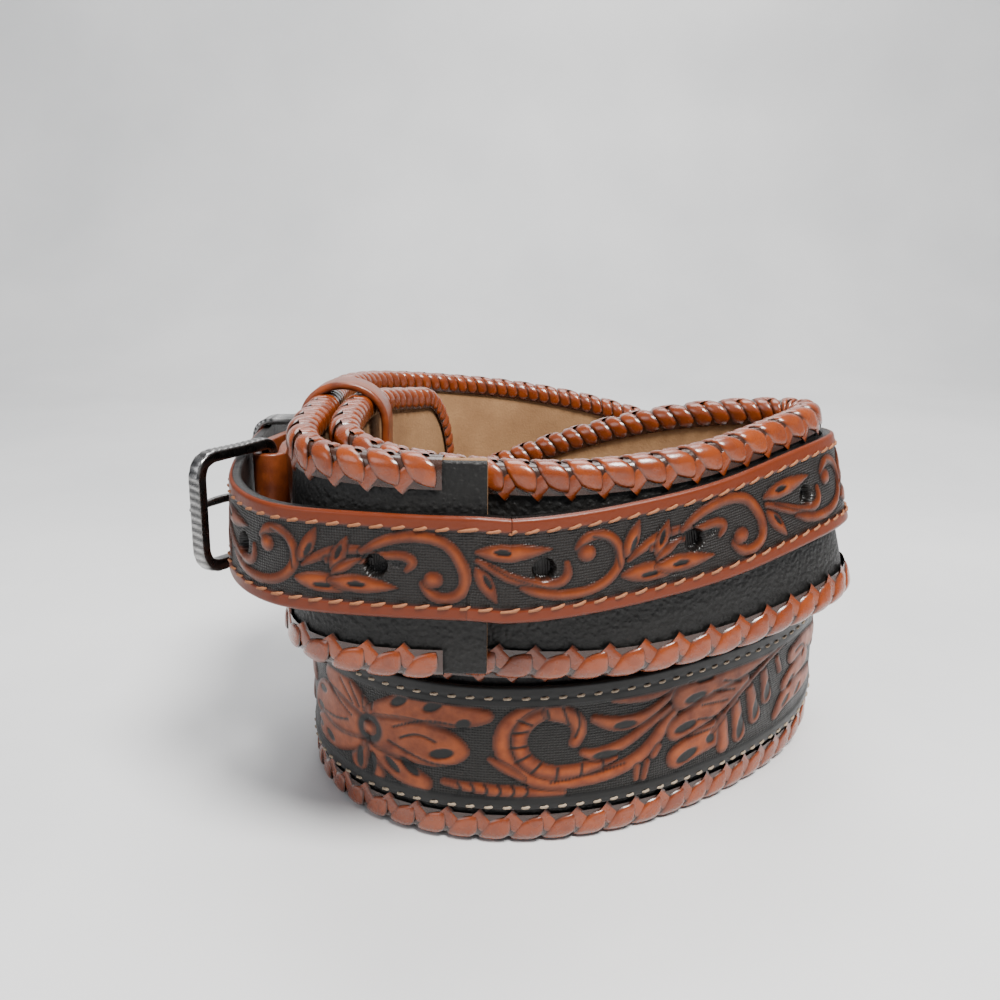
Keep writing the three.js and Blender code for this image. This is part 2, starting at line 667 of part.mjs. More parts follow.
// Leather keeper: a band round both laced layers, the belt near its square end and its tip.
const keeperFrame = belt.rail.at(leatherKeeperAt * beltLength);
const tipReach = 0.12 * beltLength;
let tipAside = 0;
for (let distance = 0; distance < tipReach; distance += 1) {
  const away = belt.rail.at(distance).point.sub(keeperFrame.point);
  if (Math.abs(away.dot(keeperFrame.travel)) < leatherKeeperBand / 2 + 1) {
    tipAside = Math.min(tipAside, away.dot(keeperFrame.out));
  }
}
const keeperOuter = laceOuter + 2 * pieceGap;
const keeperInner = tipAside + laceInner - 3 * pieceGap;
addPiece('leather_keeper', loopBand(
  belt.rail.place(leatherKeeperAt * beltLength, 0, (keeperOuter + keeperInner) / 2),
  axesAt(leatherKeeperAt),
  [keeperOuter - keeperInner, bodyWidth + 4 * pieceGap],
  leatherKeeperWall,
  leatherKeeperBand,
  1.2,
), 0x9a5a2e, 0.6);

// The whole stands on Z = 0 with its footprint centred.
const box = new THREE.Box3().setFromObject(group);
const middle = box.getCenter(new THREE.Vector3());
for (const mesh of group.children) {
  mesh.geometry.translate(-middle.x, -middle.y, -box.min.z);
  mesh.geometry.computeVertexNormals();
}

export default group;
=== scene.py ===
import math

import bpy
import numpy as np
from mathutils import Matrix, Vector


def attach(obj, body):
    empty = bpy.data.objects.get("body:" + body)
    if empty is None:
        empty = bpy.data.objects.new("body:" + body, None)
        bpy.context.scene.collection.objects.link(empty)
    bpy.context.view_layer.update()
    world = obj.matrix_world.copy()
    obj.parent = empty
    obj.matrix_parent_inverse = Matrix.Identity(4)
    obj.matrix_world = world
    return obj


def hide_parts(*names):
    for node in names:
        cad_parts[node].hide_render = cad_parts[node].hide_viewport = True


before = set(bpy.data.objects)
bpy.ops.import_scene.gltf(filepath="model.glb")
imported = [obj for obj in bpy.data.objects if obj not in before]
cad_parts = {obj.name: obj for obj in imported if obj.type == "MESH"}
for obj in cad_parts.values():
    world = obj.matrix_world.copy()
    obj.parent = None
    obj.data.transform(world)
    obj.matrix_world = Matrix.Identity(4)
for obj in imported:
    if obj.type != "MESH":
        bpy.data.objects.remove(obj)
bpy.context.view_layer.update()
print("frame loaded")

# Sizes in millimetres, as in the part.
size = {
    "coilLength": 130, "coilDepth": 122, "bodyWidth": 39.7, "layerPitch": 6.4, "levelHeight": 40.7,
    "bodyInner": 0.15, "bodyOuter": 1.85, "liningOuter": -0.15, "liningInner": -1.75,
    "laceOuter": 3.05, "laceThickness": 0.9, "edgeInset": 1.2, "tipLength": 14,
    "laceEndBare": 7, "laceCoverOutside": 6, "footHalf": 1.85,
    "overlayRest": 2.15, "overlayThickness": 1.2, "overlayWidth": 25.3,
    "strapWidth": 18, "strapThickness": 2.2, "strapBulge": 13.45, "holeRadius": 1.9, "holePitch": 28,
    "firstHole": 51.8, "holeCount": 6, "buckleStrapThickness": 1.8, "heelStandOff": 7.7,
    "frameLength": 20, "prongThickness": 1.8, "heelBarDiameter": 2.6, "pieceGap": 0.3,
}
halfWidth = size["bodyWidth"] / 2
coilMiddle = np.array([0.0, -0.4, 0.0])

# The coil: across and away as shares, layers inward, rise in levels, lean in degrees.
coilRows = [
    (-0.162, 0.221, 0, 0.937, 0), (-0.185, 0.172, 0, 0.942, 0), (-0.221, 0.107, 0, 0.956, -1),
    (-0.311, 0.029, 1, 0.993, -2), (-0.334, -0.086, 1, 1.029, -3), (-0.335, -0.188, 1, 1.039, -3.5),
    (-0.333, -0.296, 1, 1.024, -4), (-0.322, -0.379, 1, 0.994, -4), (-0.260, -0.450, 1, 0.955, -3),
    (-0.172, -0.472, 1, 0.921, -2), (-0.069, -0.485, 1, 0.902, -1), (0.034, -0.491, 1, 0.897, -2),
    (0.138, -0.477, 1, 0.911, -4), (0.240, -0.440, 1, 0.940, -4), (0.321, -0.392, 1, 0.975, -8),
    (0.401, -0.327, 1, 1.017, -12), (0.464, -0.258, 1, 1.039, -14), (0.496, -0.188, 1, 1.039, -14),
    (0.417, -0.110, 0, 1.027, -12), (0.350, -0.100, 0, 1.014, -8), (0.277, -0.098, 0, 0.992, -4),
    (0.192, -0.078, 0, 0.934, -2), (0.100, -0.049, 0, 0.837, 0), (0.000, -0.020, 0, 0.704, 0),
    (-0.141, -0.025, 1, 0.593, 0), (-0.197, -0.065, 1, 0.483, 0), (-0.227, -0.141, 1, 0.385, 0),
    (-0.216, -0.221, 1, 0.274, 0), (-0.164, -0.287, 1, 0.163, 0), (-0.055, -0.314, 1, 0.077, 0),
    (0.074, -0.309, 1, 0.023, 0), (0.191, -0.276, 1, 0.000, 0), (0.311, -0.199, 1, 0.000, 0),
    (0.405, -0.107, 1, 0.000, 0), (0.445, 0.000, 1, 0.000, 0), (0.432, 0.120, 1, 0.000, 0),
    (0.357, 0.250, 1, 0.000, 0), (0.253, 0.345, 1, 0.000, 0), (0.114, 0.403, 1, 0.000, 0),
    (-0.035, 0.425, 1, 0.000, 0), (-0.192, 0.399, 1, 0.000, 0), (-0.285, 0.254, 0, 0.000, 0),
    (-0.342, 0.115, 0, 0.000, 0), (-0.365, -0.025, 0, 0.000, 0), (-0.354, -0.135, 0, 0.000, -1),
    (-0.322, -0.225, 0, 0.000, -2), (-0.262, -0.305, 0, 0.000, -2.5), (-0.181, -0.359, 0, 0.000, -2.5),
    (-0.100, -0.382, 0, 0.000, -2.5), (-0.015, -0.386, 0, 0.000, -2.5), (0.069, -0.369, 0, 0.000, -2.5),
    (0.154, -0.337, 0, 0.000, -2.5), (0.242, -0.279, 0, 0.000, -2), (0.323, -0.214, 0, 0.000, -1),
    (0.398, -0.139, 0, 0.000, 0), (0.462, -0.049, 0, 0.018, 0), (0.498, 0.061, 0, 0.082, 0),
    (0.495, 0.189, 0, 0.225, 0), (0.438, 0.311, 0, 0.397, 0), (0.331, 0.402, 0, 0.557, 0),
    (0.208, 0.463, 0, 0.679, 0), (0.069, 0.496, 0, 0.778, 0), (-0.062, 0.496, 0, 0.846, 0),
    (-0.185, 0.451, 0, 0.898, 0), (-0.277, 0.365, 0, 0.952, 0), (-0.323, 0.254, 0, 0.996, 0),
    (-0.345, 0.123, 0, 1.026, 0), (-0.343, -0.025, 0, 1.035, -1), (-0.341, -0.156, 0, 1.041, -3),
    (-0.345, -0.254, 0, 1.034, -3.5), (-0.348, -0.336, 0, 1.014, -3.5), (-0.323, -0.420, 0, 0.982, -3.5),
    (-0.254, -0.470, 0, 0.972, -3), (-0.162, -0.486, 0, 0.969, 0), (-0.078, -0.488, 0, 0.967, 0),
]

# The narrow strap: share of the belt, stand-off as a share of the bulge (then in layers), side shift.
strapOverSquareEnd = [
    (0.8853, 0.98, 0), (0.8943, 0.98, 0), (0.9034, 1, 0), (0.912, 0.99, -0.04),
    (0.9205, 0.97, -0.12), (0.9281, 0.945, -0.16), (0.9351, 0.91, -0.16), (0.9417, 0.86, -0.16),
    (0.9472, 0.785, -0.16), (0.9527, 0.7, -0.15), (0.9582, 0.55, -0.12), (0.9632, 0.385, -0.05),
    (0.9688, 0.2, 0.08), (0.9743, 0.07, 0.18), (0.9804, 0.015, 0.23), (0.9864, 0, 0.25),
    (0.9919, 0.015, 0.26), (0.9975, 0.045, 0.28),
]

strapOverNextLayer = [
    (0.1109, 0.99, 0.62), (0.115, 0.88, 0.66), (0.1196, 0.69, 0.7), (0.1247, 0.47, 0.74),
    (0.13, 0.28, 0.78), (0.1361, 0.14, 0.84), (0.1428, 0.06, 0.88), (0.1493, 0.04, 0.92),
    (0.1557, 0.04, 0.96), (0.1619, 0.04, 0.98), (0.168, 0.04, 0.97), (0.1738, 0.04, 0.95),
    (0.1792, 0.04, 0.92), (0.1837, 0.04, 0.89), (0.1876, 0.06, 0.86), (0.191, 0.06, 0.84),
    (0.1948, 0.06, 0.82), (0.1996, 0.06, 0.8), (0.2065, 0.06, 0.8), (0.2144, 0.06, 0.8),
    (0.2225, 0.06, 0.8), (0.2296, 0.06, 0.8),
]

buckleStrapRows = [
    (0.8611, 0.04), (0.8672, 0.04), (0.8732, 0.04), (0.8792, 0.06),
    (0.8853, 0.14), (0.8913, 0.32), (0.8974, 0.52), (0.9034, 0.72),
    (0.9095, 0.9), (0.9155, 1.08), (0.9215, 1.22), (0.9271, 1.31),
]

buckleStrapReturn = [
    (0.9271, 0.66), (0.9215, 0.62), (0.916, 0.52),
]

# Places along the belt, as shares of its length from the rounded tip.
along = {"overlayFrom": 0.276, "overlayTo": 0.841, "leatherKeeper": 0.9261, "metalKeeper": 0.904,
         "heelBar": 0.9326}


# Cubic B-spline through rows: each sample blends four neighbours, the outer ones by (1-t)^3/6 and t^3/6.
def smoothRows(rows, steps):
    rows = np.array(rows, float)
    padded = np.vstack([2 * rows[0] - rows[1], rows, 2 * rows[-1] - rows[-2]])
    t = np.linspace(0, 1, steps, endpoint=False)[:, None]
    weights = [(1 - t) ** 3 / 6, (3 * t ** 3 - 6 * t ** 2 + 4) / 6,
               (-3 * t ** 3 + 3 * t ** 2 + 3 * t + 1) / 6, t ** 3 / 6]
    spans = [sum(weights[m] * padded[i + m] for m in range(4)) for i in range(len(rows) - 1)]
    return np.vstack(spans + [rows[-1:]])


# Each vector divided by its own length.
def unit(vectors):
    return vectors / np.linalg.norm(vectors, axis=-1, keepdims=True)


# A rail from samples of position and lean: travel is the central difference, out is travel x up.
def makeRail(samples):
    points = samples[:, :3]
    lengths = np.r_[0, np.cumsum(np.linalg.norm(np.diff(points, axis=0), axis=1))]
    travel = unit(np.vstack([points[1] - points[0], points[2:] - points[:-2], points[-1] - points[-2]]))
    level = unit(np.stack([travel[:, 1], -travel[:, 0], 0 * travel[:, 0]], -1))
    lean = samples[:, 3:4]
    up = np.sin(lean) * level + np.cos(lean) * np.array([[0, 0, 1.0]])
    up = unit(up - travel * np.sum(up * travel, axis=1, keepdims=True))
    return {"lengths": lengths, "total": lengths[-1], "point": points, "travel": travel, "up": up,
            "out": np.cross(travel, up)}


# A rail's point or axis at a distance, by straight interpolation between samples.
def railAt(rail, distance, key):
    return np.stack([np.interp(distance, rail["lengths"], rail[key][:, k]) for k in range(3)], -1)


# The spot at a distance along the rail, shifted sideways (up the width) and outward.
def place(rail, distance, side, outward):
    distance, side, outward = np.broadcast_arrays(distance, side, outward)
    return (railAt(rail, distance, "point") + railAt(rail, distance, "up") * side[..., None]
            + railAt(rail, distance, "out") * outward[..., None])


# The belt's rail: shares times sizes, moved inward by whole layers, standing on its own foot.
def coilRail():
    rows = np.array(coilRows, float)
    outline = rows[:, :2] * [size["coilLength"], size["coilDepth"]]
    outline -= unit(outline) * rows[:, 2:3] * size["layerPitch"]
    lean = np.radians(rows[:, 4])
    height = (rows[:, 3] * size["levelHeight"] + halfWidth * np.cos(lean)
              + size["footHalf"] * np.abs(np.sin(lean)))
    rail = makeRail(smoothRows(np.c_[outline, height, lean], 16))
    rail["point"] = rail["point"] - coilMiddle
    return rail


beltRail = coilRail()
beltLength = beltRail["total"]


# Rows of the belt's own rail turned into rows of a rail beside it.
def besideBelt(share, shift, outward):
    distance = np.asarray(share) * beltLength
    spot = place(beltRail, distance, shift, outward)
    travel = railAt(beltRail, distance, "travel")
    level = unit(np.stack([travel[:, 1], -travel[:, 0], 0 * travel[:, 0]], -1))
    lean = np.arcsin(np.clip(np.sum(unit(railAt(beltRail, distance, "up")) * level, axis=1), -1, 1))
    return np.c_[spot, lean]


sideRoom = halfWidth - size["laceCoverOutside"] - size["strapWidth"] / 2 - size["pieceGap"]
laceRoom = size["bodyOuter"] + size["pieceGap"]
strapRest = laceRoom + size["strapThickness"] / 2
overEnd = smoothRows(strapOverSquareEnd, 6)
overNext = smoothRows(strapOverNextLayer, 6)
strapRail = makeRail(np.vstack([
    besideBelt(overEnd[:, 0], overEnd[:, 2] * sideRoom, strapRest + overEnd[:, 1] * size["strapBulge"]),
    besideBelt(overNext[:, 0], overNext[:, 2] * sideRoom, strapRest + overNext[:, 1] * size["layerPitch"]),
]))
print("rails", round(beltLength, 1), round(strapRail["total"], 1))


# A mesh piece in metres from points in millimetres, quads by index and float or vector attributes per point.
def addMesh(name, points, quads, attributes=None, smooth=True):
    mesh = bpy.data.meshes.new(name)
    points = np.ascontiguousarray(np.asarray(points, np.float32).reshape(-1, 3) * 0.001)
    quads = np.ascontiguousarray(np.asarray(quads, np.int32))
    mesh.vertices.add(len(points))
    mesh.vertices.foreach_set("co", points.ravel())
    mesh.loops.add(quads.size)
    mesh.loops.foreach_set("vertex_index", quads.ravel())
    mesh.polygons.add(len(quads))
    mesh.polygons.foreach_set("loop_start", np.arange(len(quads), dtype=np.int32) * quads.shape[1])
    mesh.polygons.foreach_set("use_smooth", np.full(len(quads), smooth))
    mesh.update(calc_edges=True)
    for key, values in (attributes or {}).items():
        values = np.asarray(values, np.float32)
        kind, slotKey = ("FLOAT_VECTOR", "vector") if values.ndim > 1 else ("FLOAT", "value")
        layer = mesh.attributes.new(key, kind, "POINT")
        layer.data.foreach_set(slotKey, np.ascontiguousarray(values).ravel())
    piece = bpy.data.objects.new(name, mesh)
    bpy.context.scene.collection.objects.link(piece)
    return piece


# Quads over a grid of rows x columns of points, joined round where it is looped.
def gridQuads(rows, columns, loopRows=False, loopColumns=False, start=0):
    i = np.arange(rows if loopRows else rows - 1)[:, None]
    j = np.arange(columns if loopColumns else columns - 1)[None, :]
    i2, j2 = (i + 1) % rows, (j + 1) % columns
    corners = [i * columns + j, i2 * columns + j, i2 * columns + j2, i * columns + j2]
    return np.stack([c + 0 * (i + j) for c in corners], -1).reshape(-1, 4) + start


# Several grids put together as one mesh: points, quads and attributes run on.
def joinGrids(grids):
    points, quads, attributes, start = [], [], {}, 0
    for grid in grids:
        rows, columns = grid["points"].shape[:2]
        loops = grid.get("loopRows", False), grid.get("loopColumns", False)
        quads.append(gridQuads(rows, columns, *loops, start))
        points.append(grid["points"].reshape(-1, 3))
        start += rows * columns
        for key, values in grid.get("attributes", {}).items():
            attributes.setdefault(key, []).append(np.asarray(values).reshape(rows * columns, -1).squeeze())
    return np.vstack(points), np.vstack(quads), {k: np.concatenate(v) for k, v in attributes.items()}


# Gives a piece its material and body, and hides the solids it stands for.
def finishPiece(piece, material, nodes):
    piece.data.materials.append(material)
    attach(piece, "root")
    if nodes:
        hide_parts(*nodes)
    print("made", piece.name, len(piece.data.polygons))
    return piece


# A rounded slab outline as [side, outward] pairs going round; the corners are arcs of the given radius.
def slabOutline(half, inner, outer, radius, arcSteps=4):
    angles = np.radians(np.linspace(0, 90, arcSteps + 1))
    pieces = []
    for turn, (signSide, rim) in enumerate([(1, outer), (-1, outer), (-1, inner), (1, inner)]):
        phase = angles + turn * np.pi / 2
        centreOut = rim - radius if rim == outer else rim + radius
        pieces.append(np.stack([signSide * (half - radius) + radius * np.cos(phase),
                                centreOut + radius * np.sin(phase)], -1))
    return np.vstack(pieces)


# An empty node material with its tree and shader.
def newMaterial(name):
    material = bpy.data.materials.new(name)
    material.use_nodes = True
    tree = material.node_tree
    return material, tree, tree.nodes["Principled BSDF"]


# A node with its inputs linked or set.
def addNode(tree, kind, inputs=None, **settings):
    made = tree.nodes.new(kind)
    for key, value in settings.items():
        setattr(made, key, value)
    for key, value in (inputs or {}).items():
        if isinstance(value, bpy.types.NodeSocket):
            tree.links.new(value, made.inputs[key])
        else:
            made.inputs[key].default_value = value
    return made


# The socket of a mesh attribute.
def attributeSocket(tree, key, output="Fac"):
    return addNode(tree, "ShaderNodeAttribute", attribute_name=key, attribute_type="GEOMETRY").outputs[output]


# One operation on two values or sockets.
def mathNode(tree, operation, a, b=0.0, clamp=False):
    made = addNode(tree, "ShaderNodeMath", operation=operation, use_clamp=clamp)
    for index, value in enumerate((a, b)):
        if isinstance(value, bpy.types.NodeSocket):
            tree.links.new(value, made.inputs[index])
        else:
            made.inputs[index].default_value = value
    return made.outputs[0]


# Mix of two colours by a share: a (1 - share) + b share.
def mixColour(tree, share, a, b, blend="MIX"):
    made = addNode(tree, "ShaderNodeMix", data_type="RGBA", blend_type=blend)
    for socket, value in ((made.inputs[0], share), (made.inputs[6], a), (made.inputs[7], b)):
        if isinstance(value, bpy.types.NodeSocket):
            tree.links.new(value, socket)
        else:
            socket.default_value = value if socket.type == "VALUE" else (*value, 1)
    return made.outputs[2]


# Object coordinates, in metres.
def objectSpot(tree):
    return addNode(tree, "ShaderNodeTexCoord").outputs["Object"]


# Noise on a vector at a scale.
def noiseSocket(tree, vector, scale, detail=3.0, roughness=0.55, output="Fac"):
    return addNode(tree, "ShaderNodeTexNoise", {"Vector": vector, "Scale": scale, "Detail": detail,
                                               "Roughness": roughness}).outputs[output]


# A value moved in a straight line from one range to another.
def ramp(tree, value, low, high, toLow=0.0, toHigh=1.0):
    return addNode(tree, "ShaderNodeMapRange", {"Value": value, "From Min": low, "From Max": high,
                                               "To Min": toLow, "To Max": toHigh}).outputs[0]


# A normal bent by a height in metres.
def bump(tree, height, distance, strength):
    inputs = {"Height": height, "Distance": distance, "Strength": strength}
    return addNode(tree, "ShaderNodeBump", inputs).outputs[0]


# Black leather: rounded pebbles less the cell distance, with fine noise on them.
def blackLeatherMaterial():
    material, tree, shader = newMaterial("blackLeather")
    spot = objectSpot(tree)
    pebbles = addNode(tree, "ShaderNodeTexVoronoi", {"Vector": spot, "Scale": 1150.0}, feature="SMOOTH_F1")
    fine = noiseSocket(tree, spot, 2600.0)
    height = mathNode(tree, "SUBTRACT", mathNode(tree, "MULTIPLY", fine, 0.4), pebbles.outputs[0])
    tree.links.new(bump(tree, height, 0.00035, 0.8), shader.inputs["Normal"])
    patch = noiseSocket(tree, spot, 70.0)
    black = mixColour(tree, patch, (0.003, 0.003, 0.003), (0.010, 0.009, 0.008))
    tree.links.new(black, shader.inputs["Base Color"])
    tree.links.new(ramp(tree, fine, 0.3, 0.7, 0.36, 0.6), shader.inputs["Roughness"])
    shader.inputs["Specular IOR Level"].default_value = 0.28
    return material


# Tan suede: two tans by a slow mottle, darkened by fibres.
def liningMaterial():
    material, tree, shader = newMaterial("liningSuede")
    spot = objectSpot(tree)
    mottle = noiseSocket(tree, spot, 90.0, 4.0)
    fibre = noiseSocket(tree, spot, 1800.0, 3.0)
    base = mixColour(tree, ramp(tree, mottle, 0.3, 0.7), (0.21, 0.105, 0.042), (0.33, 0.18, 0.078))
    tree.links.new(mixColour(tree, ramp(tree, fibre, 0.35, 0.75, 0.0, 0.35), base, (0.17, 0.09, 0.04)),
                   shader.inputs["Base Color"])
    tree.links.new(bump(tree, fibre, 0.0002, 0.6), shader.inputs["Normal"])
    shader.inputs["Roughness"].default_value = 0.88
    return material


# Glossy lace: orange on the crowns, dark red-brown in the gaps and at the edges, where the tone attribute paints
# shade.
def laceMaterial():
    material, tree, shader = newMaterial("laceLeather")
    spot = objectSpot(tree)
    tone = attributeSocket(tree, "tone")
    vary = attributeSocket(tree, "vary")
    mottle = noiseSocket(tree, spot, 420.0)
    redder = mathNode(tree, "MULTIPLY", vary, 0.6)
    crown = mixColour(tree, redder, (0.225, 0.040, 0.004), (0.135, 0.021, 0.002))
    crown = mixColour(tree, ramp(tree, mottle, 0.4, 0.75, 0.0, 0.5), crown, (0.075, 0.011, 0.002))
    tree.links.new(mixColour(tree, tone, (0.022, 0.008, 0.004), crown), shader.inputs["Base Color"])
    fine = noiseSocket(tree, spot, 1500.0)
    tree.links.new(bump(tree, fine, 0.00012, 0.5), shader.inputs["Normal"])
    tree.links.new(ramp(tree, mottle, 0.3, 0.7, 0.2, 0.34), shader.inputs["Roughness"])
    shader.inputs["Coat Weight"].default_value = 0.4
    shader.inputs["Coat Roughness"].default_value = 0.2
    return material


# Tooled leather: black stippled ground, tan figures with dark cuts; edge bands carry their own tone.
def tooledMaterial(name, ground, tan, deepTan, edgeColour, stippleScale):
    material, tree, shader = newMaterial(name)
    chart = attributeSocket(tree, "chart", "Vector")
    tone = attributeSocket(tree, "tone")
    cut = attributeSocket(tree, "cut")
    edge = attributeSocket(tree, "edge")
    mottle = noiseSocket(tree, objectSpot(tree), 260.0, 4.0)
    figure = mixColour(tree, ramp(tree, mottle, 0.35, 0.7), tan, deepTan)
    figure = mixColour(tree, attributeSocket(tree, "deep"), figure, [c * 0.42 for c in deepTan])
    dots = addNode(tree, "ShaderNodeTexVoronoi", {"Vector": chart, "Scale": stippleScale, "Randomness": 0.25})
    stipple = dots.outputs[0]
    groundShade = mixColour(tree, ramp(tree, stipple, 0.1, 0.6), ground, [c * 2.6 for c in ground])
    colour = mixColour(tree, tone, groundShade, figure)
    colour = mixColour(tree, edge, colour, edgeColour)
    colour = mixColour(tree, cut, colour, [c * 0.5 for c in ground])
    tree.links.new(colour, shader.inputs["Base Color"])
    groundOnly = mathNode(tree, "SUBTRACT", 1.0, mathNode(tree, "MAXIMUM", tone, edge), True)
    fine = noiseSocket(tree, objectSpot(tree), 1700.0)
    pebbled = mathNode(tree, "MULTIPLY", mathNode(tree, "MULTIPLY", stipple, groundOnly), 1.5)
    height = mathNode(tree, "ADD", pebbled, mathNode(tree, "MULTIPLY", fine, 0.25))
    tree.links.new(bump(tree, height, 0.0002, 0.7), shader.inputs["Normal"])
    tree.links.new(ramp(tree, mottle, 0.3, 0.7, 0.3, 0.45), shader.inputs["Roughness"])
    shader.inputs["Specular IOR Level"].default_value = 0.32
    return material


# Dark plated metal: near-black in the hollows, silver-grey where tone is high.
def metalMaterial():
    material, tree, shader = newMaterial("gunmetal")
    tone = attributeSocket(tree, "tone")
    mottle = noiseSocket(tree, objectSpot(tree), 500.0)
    colour = mixColour(tree, tone, (0.012, 0.012, 0.013), (0.46, 0.45, 0.44))
    tree.links.new(mixColour(tree, ramp(tree, mottle, 0.45, 0.8, 0.0, 0.5), colour, (0.05, 0.05, 0.05)),
                   shader.inputs["Base Color"])
    shader.inputs["Metallic"].default_value = 1.0
    tree.links.new(ramp(tree, mottle, 0.3, 0.7, 0.2, 0.38), shader.inputs["Roughness"])
    tree.links.new(bump(tree, mottle, 0.0001, 0.4), shader.inputs["Normal"])
    return material


# Thread: two shades by fine fibres.
def threadMaterial(name, colour, shade):
    material, tree, shader = newMaterial(name)
    fibre = noiseSocket(tree, objectSpot(tree), 3000.0)
    tree.links.new(mixColour(tree, fibre, shade, colour), shader.inputs["Base Color"])
    shader.inputs["Roughness"].default_value = 0.7
    return material


# Plain leather with one colour and fine grain, darker by the "cut" attribute, which on the leather keeper carries
# painted shade on the inside of the loop.
def plainLeatherMaterial(name, colour, shade, roughness):
    material, tree, shader = newMaterial(name)
    mottle = noiseSocket(tree, objectSpot(tree), 300.0)
    base = mixColour(tree, ramp(tree, mottle, 0.35, 0.7), colour, shade)
    tree.links.new(mixColour(tree, attributeSocket(tree, "cut"), base, (0.012, 0.009, 0.008)),
                   shader.inputs["Base Color"])
    fine = noiseSocket(tree, objectSpot(tree), 1500.0)
    tree.links.new(bump(tree, fine, 0.00015, 0.6), shader.inputs["Normal"])
    shader.inputs["Roughness"].default_value = roughness
    return material


blackLeather = blackLeatherMaterial()
liningSuede = liningMaterial()
laceLeather = laceMaterial()
overlayLeather = tooledMaterial("overlayLeather", (0.003, 0.0025, 0.002), (0.26, 0.055, 0.009),
                                (0.115, 0.019, 0.003), (0.003, 0.0028, 0.0025), 1.9)
strapLeather = tooledMaterial("strapLeather", (0.004, 0.003, 0.0025), (0.22, 0.045, 0.007),
                              (0.095, 0.016, 0.003), (0.115, 0.018, 0.003), 2.1)
gunmetal = metalMaterial()
paleThread = threadMaterial("paleThread", (0.40, 0.32, 0.23), (0.18, 0.13, 0.085))
tanThread = threadMaterial("tanThread", (0.34, 0.13, 0.05), (0.15, 0.05, 0.018))
print("materials")


# Half width of the belt at a distance from the rounded tip, set in by a margin: h sin(a) with t(1 - cos a).
def tipStations(margin):
    angles = np.radians(np.linspace(4, 90, 24))
    along, across = np.cos(angles) / size["tipLength"], -np.sin(angles) / halfWidth
    scale = margin / np.hypot(along, across)
    distance = size["tipLength"] * (1 - np.cos(angles)) + scale * along
    half = halfWidth * np.sin(angles) + scale * across
    keep = half > 0.3
    return distance[keep], half[keep]


# Body leather and lining: slabs along the rail with rounded edges, closed at the ends by shrinking rings.
def beltLayer(inner, outer, radius):
    distance, half = tipStations(size["edgeInset"])
    straight = np.arange(size["tipLength"] + 1.2, beltLength - 0.4, 1.4)
    distance = np.r_[distance, straight, beltLength - 0.25, beltLength - 0.06, beltLength]
    full = halfWidth - size["edgeInset"]
    half = np.r_[half, np.full(len(straight), full), full, full - 0.08, full - 0.3]
    shape = slabOutline(full, inner, outer, radius, 4)
    offsets = shape[:, 0] - np.sign(shape[:, 0]) * full
    sides = np.sign(shape[:, 0])[None, :] * half[:, None] + offsets[None, :]
    points = place(beltRail, distance[:, None], sides, shape[None, :, 1])
    middle = points.mean(axis=1, keepdims=True)
    ends = [np.repeat(middle[:1], len(shape), 1), points, np.repeat(middle[-1:], len(shape), 1)]
    return {"points": np.vstack(ends), "loopColumns": True}


# The body leather and the lining.
def buildLayers():
    layers = (
        ("beltBody", "belt_body", size["bodyInner"], size["bodyOuter"], 0.5, blackLeather, "black_leather"),
        ("beltLining", "belt_lining", size["liningInner"], size["liningOuter"], 0.3, liningSuede, "lining_leather"),
    )
    for name, node, inner, outer, radius, material, slotName in layers:
        points, quads, attributes = joinGrids([beltLayer(inner, outer, radius)])
        finishPiece(addMesh(name, points, quads, attributes), material, [node])


buildLayers()

# Lacing sizes: the pitch of the leaves, the rounding over the edge and the reach down each face.
lacing = {"pitch": 5.95, "corner": 2.4, "flat": 0.6, "leafGrid": (20, 12), "ribGrid": (14, 8),
          "footGrid": (8, 8)}


# The edge from the middle of the tip to the square end, as chart places with an inward direction.
def edgePath(sign):
    angles = np.radians(np.linspace(0, 90, 60))
    tipDistance = size["tipLength"] * (1 - np.cos(angles))
    tipSide = halfWidth * np.sin(angles)
    inward = unit(np.stack([np.cos(angles) / size["tipLength"], -np.sin(angles) / halfWidth], -1))
    straight = np.arange(size["tipLength"] + 1, beltLength - size["laceEndBare"], 1.0)
    distance = np.r_[tipDistance, straight]
    side = np.r_[tipSide, np.full(len(straight), halfWidth)] * sign
    inAlong = np.r_[inward[:, 0], 0 * straight]
    inSide = np.r_[inward[:, 1], 0 * straight - 1] * sign
    length = np.r_[0, np.cumsum(np.hypot(np.diff(distance), np.diff(side)))]
    return {"length": length, "distance": distance, "side": side, "inAlong": inAlong, "inSide": inSide}


# Wraps a chart spot (along the edge, round the edge, height) over the belt's edge.
# Round the edge: flat top, quarter circle, then straight down the face.
def overEdge(path, along, around, height):
    corner, flat = lacing["corner"], lacing["flat"]
    reach = np.abs(around)
    angle = np.clip((reach - flat) / corner, 0, np.pi / 2)
    below = np.maximum(reach - flat - corner * np.pi / 2, 0)
    drop = height - size["laceThickness"]
    depth = corner * (1 - np.cos(angle)) + below - drop * np.cos(angle)
    outward = np.minimum(reach, flat) + corner * np.sin(angle) + drop * np.sin(angle)
    outward = np.where(around < 0, -outward, outward) + 0.05
    distance, side, inAlong, inSide = (np.interp(along, path["length"], path[key])
                                       for key in ("distance", "side", "inAlong", "inSide"))
    return place(beltRail, distance + inAlong * depth, side + inSide * depth, outward)


